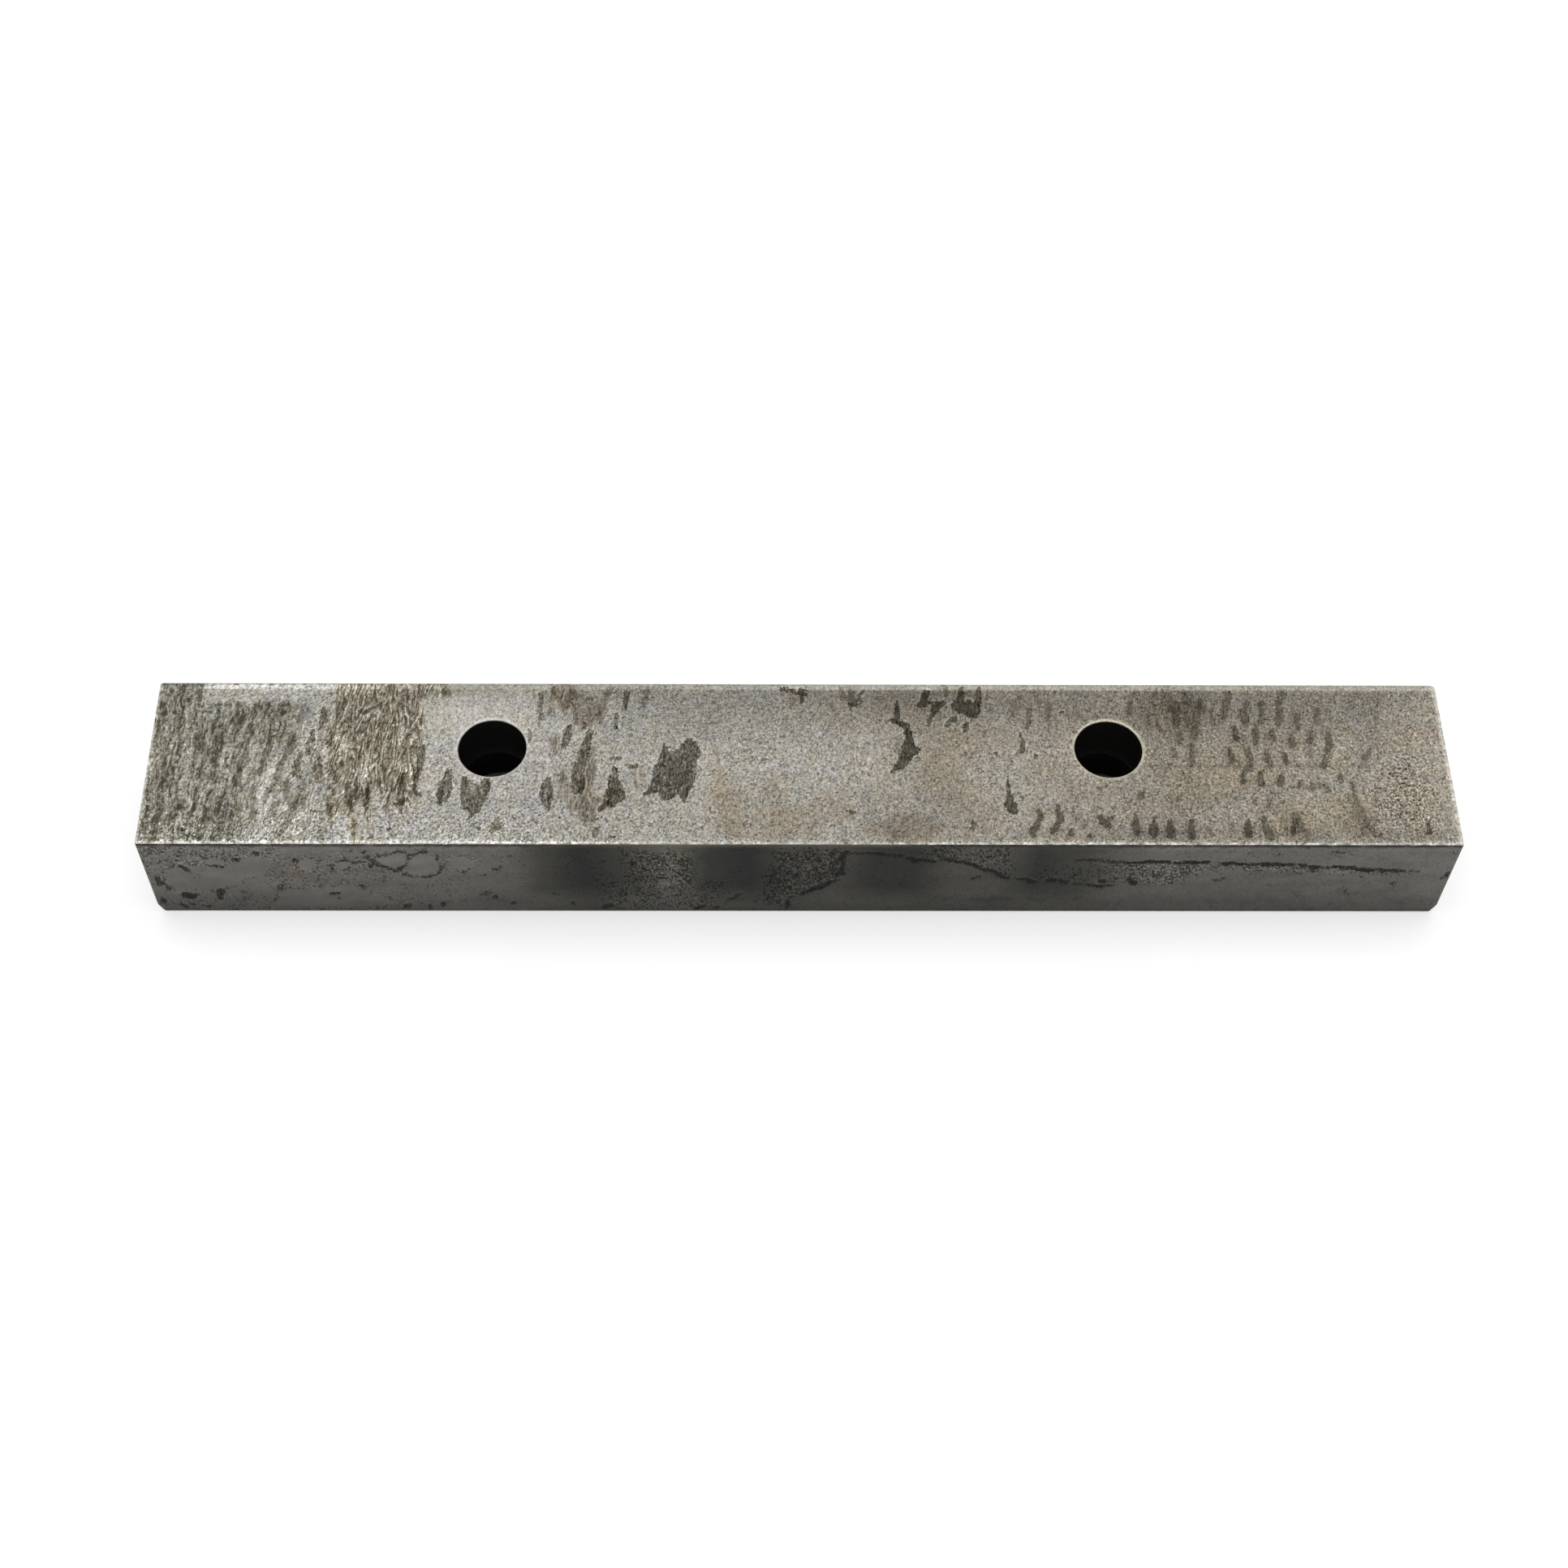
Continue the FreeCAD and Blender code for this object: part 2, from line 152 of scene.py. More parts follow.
# ---------------------------------------------------------------- marks, in millimetres
# Each mark is (strength, brown, points), or (strength, brown, softness, points) when its edge is soft. Points
# are (x, y, half-width) along a brush stroke, or (x, y) round an outline; y is the height on the front side.
# The crisp dark marks of the mounting face
TOP_CRISP = [
    # by the left hole
    (0.7, 0.25, [(-34.2, -1.1, 0.25), (-34.4, -2.6, 0.55), (-34.5, -3.8, 0.65), (-34.9, -5, 0.15)]),
    (0.66, 0.25, [(-32.5, -2, 0.3), (-32.4, -3.6, 0.5), (-32.2, -5.3, 0.45)]),
    (0.74, 0.25, [(-30.5, -2.1, 0.35), (-30.9, -4, 0.6), (-31.5, -5.4, 0.55), (-31.8, -6.4, 0.2)]),
    (0.5, 0.35, [(-31.7, -3, 0.4), (-31.8, -5.4, 0.5)]),
    (0.75, 0.2, [(-24.6, -1.9, 0.12), (-24.7, -3.2, 0.5), (-24.6, -4.4, 0.5), (-24.35, -5.6, 0.08)]),
    (0.6, 0.15, [(-25.7, 8, 0.2), (-25.6, 5, 0.15)]), (0.45, 0.1, [(-26.55, 4.6, 0.06), (-26.6, 2.2, 0.1)]),
    # brown flow from the back edge
    (0.75, 0.2, [(-22.8, 4, 0.25), (-23, 2.6, 0.35), (-23.2, 1.8, 0.2)]),
    (0.72, 0.45, [(-20.8, 3.3, 0.3), (-21.2, 1, 0.4), (-21.7, -1, 0.5), (-21.6, -3.2, 0.6)]),
    (0.85, 0.25, [(-18, -0.9, 0.2), (-18.2, -2.6, 0.6), (-18, -3.9, 0.9), (-18.4, -4.6, 0.7)]),
    (0.75, 0.5, [(-18.6, -4.4, 0.4), (-19.4, -5.7, 0.15)]),
    (0.65, 0.15, [(-17.1, 8.6, 0.2), (-17.3, 7.6, 0.25), (-17.3, 6.4, 0.12)]),
    (0.45, 0.2, [(-15.2, 8.7, 0.2), (-15.4, 7.4, 0.25), (-15.5, 6.6, 0.1)]),
    (0.5, 0.1, [(-18.1, 5.6, 0.15), (-18.3, 4.4, 0.25)]), (0.9, 0.1, [(-18.2, 4, 0.2)]),
    (0.6, 0.4, [(-16.6, -0.6, 0.15), (-15.8, -0.4, 0.12)]),
    # the large dark patch left of the middle
    (0.8, 0.05, [(-13.4, 2.1), (-12.9, 1), (-12.2, 1.2), (-11.6, 2), (-10.9, 2.7), (-10.4, 2.3),
        (-9.8, 1.1), (-10.3, 0.1), (-10.3, -1.8), (-10.9, -3.6), (-11.35, -4.8), (-11.8, -3.6),
        (-12.4, -4.2), (-13.2, -4.6), (-13.8, -3.5), (-14.4, -3.5), (-15.2, -4), (-14.5, -2.4),
        (-14.2, -0.6), (-13.7, 0.6)]),
    # brown V at the back edge, near the middle
    (0.95, 0.8, [(-2, 8.7, 0.12), (-0.9, 8.5, 0.24), (0.4, 8, 0.2)]),
    (0.85, 0.5, [(0.05, 8.7, 0.16), (0.25, 7.2, 0.2)]), (0.45, 0.4, [(4.05, 9, 0.12), (4.2, 7.6, 0.18)]),
    (0.75, 0.3, [(4.8, 6.9, 0.12), (5.7, 6.7, 0.15)]),
    (0.6, 0.3, [(6.6, 8.9, 0.06), (5.9, 7.9, 0.1), (5.8, 6.7, 0.1)]),
    # crescent
    (1, 0.15, [(9.55, 7.3), (9.75, 6), (9.8, 4.9), (10.6, 4.5), (11, 3), (11.1, 2), (11.7, 1.5), (11, 0.7),
        (10.4, -0.3), (9.6, -0.8), (8.8, -1.2), (9.3, -0.2), (9.75, 0.7), (9.9, 1.7), (10.35, 3),
        (10.2, 4.2), (9.5, 4.5), (8.8, 4.8), (9.4, 5.2), (9.42, 6.3)]),
    (0.5, 0.1, [(8.9, -1.05, 0.12), (9.8, -0.6, 0.12)]),
    # angular marks behind it
    (0.9, 0.25, [(12.4, 8.9), (12.9, 8.4), (12.6, 7.6), (12.9, 7), (12.4, 6.6), (11.3, 6.5), (11.9, 7.2),
        (12.1, 8)]),
    (0.95, 0.2, [(13.2, 7.2), (14.3, 7.3), (14.4, 6.8), (13.6, 6.2), (13.3, 5.4), (12.9, 5.2), (13, 6.2)]),
    (0.6, 0.35, [(12.9, 5.6, 0.15), (12.8, 4.9, 0.14), (12.6, 4.3, 0.06)]),
    (0.45, 0.3, [(14.35, 9, 0.1), (14.6, 8, 0.15)]),
    (0.9, 0.35, [(16.1, 8.9, 0.2), (15.9, 7.7, 0.35), (15.5, 6.7, 0.4), (15.9, 6.1, 0.2)]),
    (0.9, 0.45, [(17.8, 8.8, 0.2), (17.6, 7.4, 0.3), (17.3, 6.2, 0.4), (17, 5.5, 0.3)]),
    (0.9, 0.4, [(15.6, 7.7), (16.2, 7.1), (16.7, 7.4), (17.4, 7.2), (17.6, 6.3), (17.3, 5.3), (16.6, 5.6),
        (15.8, 6), (15.3, 6.8)]), (0.95, 0.2, [(16.1, 6.1, 0.25), (16.8, 5.6, 0.3), (17.3, 5.3, 0.15)]),
    (0.8, 0.2, [(15.2, 5.1, 0.3), (14.6, 4.6, 0.25), (14.4, 4.2, 0.1)]),
    (0.8, 0.2, [(16.4, 4.5, 0.12), (16.2, 3.8, 0.18)]), (0.4, 0.6, [(18.9, 6.8, 0.15), (18.9, 5.9, 0.2)]),
    (0.5, 0.6, [(22.7, 6.3, 0.2), (22.5, 5, 0.25), (22.3, 4, 0.12)]),
    (0.35, 0.6, [(23.3, 8.6, 0.12), (23.7, 6.7, 0.2)]), (0.8, 0.3, [(25.9, 6, 0.14)]),
    (0.7, 0.5, [(25.4, 8.4, 0.14)]), (0.3, 0.3, [(27.3, 8.7, 0.08), (27.3, 6.5, 0.08)]),
    (0.75, 0.2, [(21.6, 3.4, 0.06), (21.8, 2.2, 0.12), (21.7, 1.4, 0.2)]),
    (0.45, 0.2, [(21.7, 1.3, 0.1), (21.1, 0.9, 0.08)]), (0.6, 0.5, [(22.9, 0.8, 0.1), (23.1, 0.6, 0.12)]),
    (0.8, 0.5, [(19.1, 0.9, 0.13)]),
    # drop
    (0.9, 0.1, [(20.05, -1.9, 0.06), (20.1, -3.2, 0.09), (20.1, -4, 0.2), (20.2, -5, 0.52),
        (20.4, -5.6, 0.42)]), (0.4, 0.2, [(21, -4.5, 0.05), (22, -3.7, 0.05)]),
    (0.75, 0.3, [(16.4, -7, 0.1), (16.4, -7.6, 0.22)]), (0.7, 0.2, [(4.5, -5.7, 0.1), (4.9, -5.9, 0.15)]),
    # chains by the front edge
    (0.5, 0.3, [(55, -8.6, 0.1), (55.6, -8.4, 0.12), (55.9, -8.9, 0.1)]),
    # tears between the streaks and the brown band
    (0.77, 0.35, [(-47, 6.2, 0.15), (-47, 5, 0.3), (-47.1, 4, 0.12)]),
    (0.8, 0.35, [(-47.7, 3.6, 0.15), (-47.9, 2.2, 0.36), (-48.1, 0.9, 0.2)]),
    (0.72, 0.35, [(-48.8, 1.2, 0.15), (-48.9, -0.4, 0.3), (-49, -1.8, 0.2)]),
    (0.81, 0.65, [(-47, 0.6, 0.15), (-46.9, -0.8, 0.4), (-46.8, -2.2, 0.25)]),
    (0.77, 0.5, [(-46.2, 3.6, 0.25), (-46.2, 1.8, 0.18)]),
    (0.69, 0.3, [(-51.6, 2.8, 0.2), (-52, 1.2, 0.3), (-52.4, -1.4, 0.22)]),
    (0.81, 0.2, [(-48.7, -5.5, 0.14)]), (0.81, 0.2, [(-48.6, -1.9, 0.16)]),
    (0.81, 0.2, [(-46.9, -5.8, 0.17)]), (0.81, 0.2, [(-59.2, -7.9, 0.1), (-58.9, -8.1, 0.12)]),
    # lower end of the brown band
    (0.68, 0.7, [(-43.9, -2.8, 0.25), (-43.6, -4.4, 0.35), (-43.3, -5.6, 0.15)]),
    (0.64, 0.75, [(-42.9, -2.8, 0.2), (-42.8, -4.6, 0.22)]),
    (0.6, 0.5, [(-41.9, -3.2, 0.15), (-41.9, -4.8, 0.2)]),
    (0.64, 0.6, [(-38.7, -1.6, 0.3), (-38.6, -3.4, 0.3), (-38.8, -4.8, 0.35), (-38.4, -6, 0.12)]),
    (0.64, 0.2, [(-37.4, -1.8, 0.12), (-37.4, -3.4, 0.18), (-36.9, -4, 0.1)]),
    (0.56, 0.3, [(-36.9, 1.8, 0.12), (-37, 0.6, 0.35), (-37.2, -0.8, 0.3), (-37.5, -2.2, 0.2)]),
    (0.56, 0.3, [(-39.6, -8, 0.16)]), (0.64, 0.2, [(-40.4, 2.7, 0.15)]),
    (0.48, 0.3, [(-45.5, -5, 0.2), (-45.3, -6.2, 0.2)]),
    # specks by the front edge
    (0.7, 0.4, [(-31.4, -7.3, 0.14)]), (0.7, 0.3, [(-30.9, -7.8, 0.16)]),
    (0.5, 0.9, [(-29.3, -6.9, 0.2), (-29.6, -8, 0.2), (-28.8, -7.6, 0.15)]),
    (0.55, 0.4, [(-19.7, -7.8, 0.2), (-19.8, -8.6, 0.2)]),
    (0.7, 0.3, [(-18.4, -8.7, 0.08), (-17.9, -8.7, 0.1)]), (0.7, 0.3, [(-16.3, -7, 0.1)]),
    (0.7, 0.3, [(-14.4, -7.2, 0.1)]), (0.6, 0.3, [(-5.4, -7.2, 0.14)]), (0.6, 0.5, [(-4.4, -8.4, 0.12)]),
    (0.55, 0.2, [(-4.9, -2.5, 0.06), (-4.4, -2.8, 0.12)]),
    (0.5, 0.2, [(-4.2, 0.1, 0.05), (-3.5, 0.3, 0.08)]), (0.6, 0.2, [(-0.8, 3.5, 0.1)]),
    (0.6, 0.2, [(-18.5, 0.3, 0.1), (-17.7, 0.4, 0.1)]), (0.6, 0.2, [(62.4, -1.9, 0.1), (63, -1.9, 0.1)]),
]

# Its weaker marks, each with a soft halo
TOP_HALOED = [
    # angular marks behind it
    (0.4, 0.5, [(24.7, 7.3, 0.15), (24.6, 6.2, 0.2), (24.5, 5.2, 0.1)]),
    # chains by the front edge
    (0.88, 0.35, [(22.85, -5.4, 0.12), (23.05, -6.4, 0.26), (22.6, -7.2, 0.14), (22.2, -8, 0.34),
        (22.2, -8.5, 0.16)]),
    (0.88, 0.3, [(24.7, -5.2, 0.15), (24.9, -6.4, 0.3), (24.6, -7.2, 0.16), (24.2, -7.9, 0.38)]),
    (0.75, 0.3, [(25.7, -7.9, 0.1), (25.7, -8.5, 0.18)]), (0.62, 0.7, [(27.1, -7.4, 0.26)]),
    (0.75, 0.3, [(27.6, -8.6, 0.24)]),
    (0.88, 0.8, [(28.7, -6.3, 0.15), (29.1, -6.9, 0.42), (29.4, -7.4, 0.26)]),
    (0.75, 0.6, [(29.8, -6.6, 0.18)]), (0.44, 0.5, [(26.4, -6.5, 0.15)]),
    (0.81, 0.2, [(32.2, -6.2, 0.12), (32.1, -7.2, 0.28), (32.2, -8.3, 0.22)]),
    (0.88, 0.15, [(33.9, -6.8, 0.12), (33.8, -7.7, 0.42), (33.6, -8.4, 0.3)]),
    (0.88, 0.15, [(35.5, -6.8, 0.12), (35.4, -7.7, 0.38), (35.3, -8.5, 0.3)]),
    (0.81, 0.15, [(37.5, -6.8, 0.15), (37.4, -7.8, 0.25), (37.4, -8.8, 0.2)]),
    (0.95, 0.1, [(43.05, -6.6, 0.08), (42.9, -7.6, 0.36), (42.8, -8.5, 0.28)]),
    (0.75, 0.3, [(44.5, -6.5, 0.1), (44.8, -7.8, 0.36), (44.9, -8.7, 0.25)]),
    (0.44, 0.4, [(48.5, -8, 0.3), (48.5, -9, 0.2)]), (0.88, 0.2, [(60.4, -7, 0.12), (60.3, -8.2, 0.2)]),
    # short strokes right of the right hole
    (0.42, 0.3, [(33.5, 8.6, 0.14), (33.2, 8, 0.24)]), (0.66, 0.4, [(32.8, 7.2, 0.12), (32.6, 5.8, 0.24)]),
    (0.66, 0.4, [(37.4, 7.3, 0.14), (37.3, 5.8, 0.34), (37.2, 4.6, 0.34)]),
    (0.54, 0.2, [(39.8, 7.4, 0.19), (39.9, 6.2, 0.34)]), (0.37, 0.3, [(40.6, 6, 0.14), (41.1, 4.6, 0.24)]),
    (0.42, 0.4, [(35.4, 4.4, 0.14), (35.5, 3.8, 0.24)]),
    (0.59, 0.35, [(37.4, 3.4, 0.19), (37.2, 2.5, 0.3)]), (0.59, 0.55, [(39, 4.2, 0.19), (38.7, 2.9, 0.3)]),
    (0.66, 0.4, [(38.4, 2, 0.14), (38.3, 0.6, 0.24), (38.2, -0.4, 0.14)]),
    (0.54, 0.35, [(36.7, 1.6, 0.14), (36.6, 0.7, 0.28)]),
    (0.59, 0.35, [(42.7, 8.6, 0.16), (42.4, 7, 0.32), (41.8, 5.4, 0.24)]),
    (0.66, 0.35, [(44.5, 7.2, 0.16), (44, 6, 0.28), (43.9, 4.9, 0.36)]), (0.72, 0.75, [(45.8, 7, 0.32)]),
    (0.66, 0.35, [(45.7, 6.2, 0.16), (45.6, 4.9, 0.34)]),
    (0.59, 0.35, [(47.6, 7.4, 0.19), (47.5, 6, 0.34), (47.3, 4.6, 0.28)]),
    (0.54, 0.3, [(48, 8.8, 0.14), (48, 8, 0.19)]), (0.59, 0.85, [(49.2, 5.6, 0.24), (49.1, 4.3, 0.28)]),
    (0.54, 0.9, [(51.2, 6.2, 0.22), (51.1, 5, 0.24)]), (0.72, 0.4, [(42.75, 4.3, 0.14), (42.9, 2.8, 0.24)]),
    (0.72, 0.4, [(44.95, 4.3, 0.16), (44.75, 3, 0.3), (44.6, 2.1, 0.14)]),
    (0.59, 0.5, [(46.5, 3.8, 0.16), (46.5, 2.8, 0.24)]),
    (0.75, 0.3, [(48.4, 3.2, 0.16), (48.3, 2.1, 0.32)]),
    (0.72, 0.3, [(50.3, 3.6, 0.16), (50.1, 2.4, 0.22)]),
    (0.75, 0.2, [(52, 3.3, 0.18), (51.9, 1.8, 0.3), (51.4, 0.7, 0.16), (51.1, -0.5, 0.24)]),
    (0.72, 0.3, [(42.05, 1.5, 0.14), (42.2, 0.2, 0.24)]),
    (0.59, 0.4, [(43.9, 1.6, 0.18), (43.9, 0.2, 0.28), (43.8, -0.9, 0.16)]),
    (0.59, 0.35, [(45.65, 1.5, 0.16), (45.8, 0.2, 0.28), (45.8, -0.5, 0.18)]),
    (0.78, 0.2, [(47.4, 1, 0.14), (47.5, 0, 0.3)]), (0.42, 0.8, [(49.9, 1.6, 0.14), (50, 0.8, 0.24)]),
    (0.66, 0.3, [(55.9, 1.4, 0.16), (55.3, 0.5, 0.28)]),
    (0.72, 0.25, [(43.25, -0.9, 0.14), (43.05, -2.2, 0.26)]),
    (0.75, 0.25, [(44.85, -1.2, 0.14), (44.75, -2.5, 0.28)]),
    (0.72, 0.25, [(46.8, -1.6, 0.16), (46.6, -2.5, 0.28)]),
    (0.59, 0.35, [(48.55, -2.2, 0.14), (48.4, -2.9, 0.2)]), (0.59, 0.4, [(47.7, -2.9, 0.2)]),
    (0.59, 0.5, [(49.7, -2.6, 0.2), (49.6, -3, 0.2)]), (0.54, 0.5, [(50.4, -2.7, 0.22)]),
    (0.59, 0.35, [(51.2, -2.7, 0.16), (51.2, -3.3, 0.24)]),
    (0.66, 0.3, [(52.7, -1.5, 0.18), (52.5, -2.1, 0.22)]),
    (0.72, 0.3, [(53.6, -2.3, 0.1), (53.7, -3.5, 0.16)]),
    (0.59, 0.8, [(33, -3.4, 0.16), (32.95, -4, 0.22)]), (0.54, 0.4, [(36.6, -4, 0.12), (36.4, -4.6, 0.12)]),
    (0.42, 0.6, [(43.9, -4.3, 0.16), (43.8, -4.8, 0.18)]),
    (0.42, 0.6, [(45.3, -4.4, 0.18), (45.1, -5.1, 0.16)]),
    # tears between the streaks and the brown band
    (0.66, 0.3, [(-49.7, 3.2, 0.2), (-49.9, 1.6, 0.36), (-50.3, 0.2, 0.2)]),
    (0.55, 0.2, [(-50.6, 0, 0.15), (-50.6, -1.8, 0.3), (-51.3, -3.4, 0.3)]),
    (0.66, 0.3, [(-49.8, -2.6, 0.3), (-49.4, -4, 0.4), (-48.8, -5.2, 0.2)]),
    (0.55, 0.3, [(-48.4, -3.2, 0.3), (-48.2, -4.8, 0.35)]),
    (0.55, 0.2, [(-52.9, -3.2, 0.15), (-52.8, -5, 0.28), (-52.4, -6.8, 0.15)]),
    (0.55, 0.2, [(-50.5, -4.6, 0.14), (-50.7, -6.2, 0.25)]),
]

# Its soft stains
TOP_SOFT = [
    # brown flow from the back edge
    (0.8, 0.9, 0.35, [(-23.6, 8.9, 1.3), (-22.8, 7, 1.2), (-22.1, 4.6, 0.5)]),
    (0.85, 0.8, 0.25, [(-20.9, 7.4, 0.5), (-20.7, 5.6, 0.9), (-21.3, 4, 0.3)]),
    (0.7, 0.7, 0.2, [(-19, 8.6, 0.3), (-19.5, 7, 0.4), (-19.8, 4.6, 0.3)]),
    (0.65, 0.9, 0.3, [(-25, 8, 0.4), (-24.6, 5.6, 0.4)]),
    (0.6, 0.9, 0.3, [(-24.2, 2.6, 0.5), (-23.9, 1.4, 0.4)]),
    (0.8, 0.8, 0.2, [(-20.6, 1.4, 0.4), (-20.4, -1, 0.5), (-20.9, -3.4, 0.7), (-20.9, -5.2, 0.9),
        (-20.5, -6.5, 0.8)]), (0.6, 0.9, 0.3, [(-23.2, -1.4, 0.4), (-23, -3.4, 0.6), (-22, -5.4, 0.5)]),
    (0.55, 0.9, 0.2, [(-19.6, -4.2, 0.5), (-19.5, -5.6, 0.3)]),
    (0.35, 0.8, 0.2, [(-16.1, -1.2, 0.6), (-15.9, -2.6, 0.5)]),
    # the large dark patch left of the middle
    (0.35, 0.1, 0.3, [(-9.3, 2.6, 0.3), (-9.2, 3.6, 0.2)]),
    # brown V at the back edge, near the middle
    (0.35, 0.9, 0.25, [(-1.2, 8.4, 0.3), (-0.7, 6.4, 0.25)]),
    (0.4, 0.9, 0.4, [(0.8, 8.3, 0.5), (2, 8.1, 0.3)]), (0.9, 0.5, 0.2, [(5, 8.6, 0.3), (5.2, 7.2, 0.55)]),
    # crescent
    (0.4, 0.2, 0.35, [(9.7, 2.6, 0.35), (9.5, 1.2, 0.4)]),
    # angular marks behind it
    (0.35, 0.9, 0.3, [(15.6, 8.4, 0.5), (17, 8.2, 0.5)]),
    (0.55, 0.4, 0.2, [(21.3, 7.4, 0.2), (21.2, 6.3, 0.45), (21, 5.6, 0.25)]),
    (0.35, 0.6, 0.2, [(21.6, 8.8, 0.2), (21.9, 7, 0.25)]),
    # chains by the front edge
    (0.35, 0.3, 0.2, [(39.1, -7.2, 0.2), (39.2, -8.3, 0.35)]),
    (0.3, 0.4, 0.2, [(41.3, -7.4, 0.3), (41.1, -8.2, 0.25)]),
    (0.5, 0.7, 0.3, [(46.3, -6.8, 0.3), (46.6, -7.9, 0.4)]),
    (1, 0.85, 0.3, [(47.6, -6.3, 0.3), (47.7, -7.5, 0.75), (47, -8.2, 0.5)]),
    (0.7, 0.75, 0.35, [(53.6, -4, 0.3), (53.9, -6.2, 0.65), (54.4, -7.6, 0.8)]),
    (0.45, 0.7, 0.2, [(51.9, -6.4, 0.15), (52.2, -7.3, 0.15), (53.2, -7.4, 0.1)]),
    (0.4, 0.7, 0.3, [(54.6, -8.2, 0.3), (56.4, -8.4, 0.3)]),
    # short strokes right of the right hole
    (0.48, 0.5, 0.2, [(34.6, 6.2, 0.19), (34.3, 4.8, 0.34)]),
    (0.4, 0.8, 0.35, [(36, 8.4, 0.5), (36.4, 6, 0.8)]),
    (0.56, 0.35, 0.4, [(38.6, 8.6, 0.7), (38.7, 6.8, 1), (38.9, 5, 0.7)]),
    (0.53, 0.7, 0.2, [(38.3, 5, 0.44), (38.5, 4.2, 0.44)]),
    # tears between the streaks and the brown band
    (0.5, 0.3, 0.2, [(-48.6, 6.2, 0.3), (-49, 4.8, 0.3)]),
    # specks by the front edge
    (0.4, 0.9, 0.2, [(-27, -7.3, 0.25)]),
]

# Its large faint stains: (x, y, half-length, half-width, brown, darkening)
TOP_STAINS = [
    (-8.2, 5.3, 1.6, 2.2, 0.55, 0.08), (-8, -3.8, 1.6, 3.6, 0.9, 0.12), (-6.6, -5.8, 1.6, 4, 0.8, 0.2),
    (-3.2, -4, 2.6, 3.4, 0.5, 0.1), (-6, -7.8, 3, 1.6, 0.4, 0.16), (-1.5, -7.4, 4, 2.8, 0.8, 0.16),
    (2.8, -5.2, 3.2, 2.4, 0.6, 0.1), (3.2, 5.4, 3.2, 2.4, 0.35, 0.05), (9.8, -7.8, 4, 2, 0.6, 0.26),
    (8.4, 7, 2.4, 2.4, 0.45, 0.08), (12, 5.4, 2.2, 2.6, 0.5, 0.05), (13.6, 1, 4, 2.6, 0.45, 0.06),
    (13.4, -1.6, 3, 2.4, 0.55, 0.08), (14.8, -4.2, 2.6, 2, 0.5, 0.08), (17.2, 3, 3.6, 2.2, 0.5, 0.06),
    (17.2, -7.2, 3, 1.8, 0.4, 0.08), (24.4, -0.8, 1.6, 1.4, 0.6, 0.06), (26.8, -3.6, 3, 1.4, 0.4, 0.08),
    (36.6, 4.6, 4.2, 3.2, 0.6, 0.16), (39, -1.5, 6.5, 4.5, 0.5, 0.1), (46, 0.5, 6, 5, 0.5, 0.08),
    (47, -6.6, 4.2, 2.8, 0.8, 0.14), (53.4, -6.4, 3, 3.4, 0.8, 0.16), (58.6, 2.8, 3.6, 2.6, 0.4, 0.08),
    (59, -4, 3.4, 4.4, 0.45, 0.06), (36, -5, 5, 2, 0.35, 0.05), (35, -8, 4.6, 1.6, 0.1, 0.16),
    (-62.2, -0.4, 1.2, 5.5, 0.4, 0), (-61.6, -7, 2.2, 1.8, 0.5, 0), (30, 2, 6, 7, 0.15, 0.02),
]

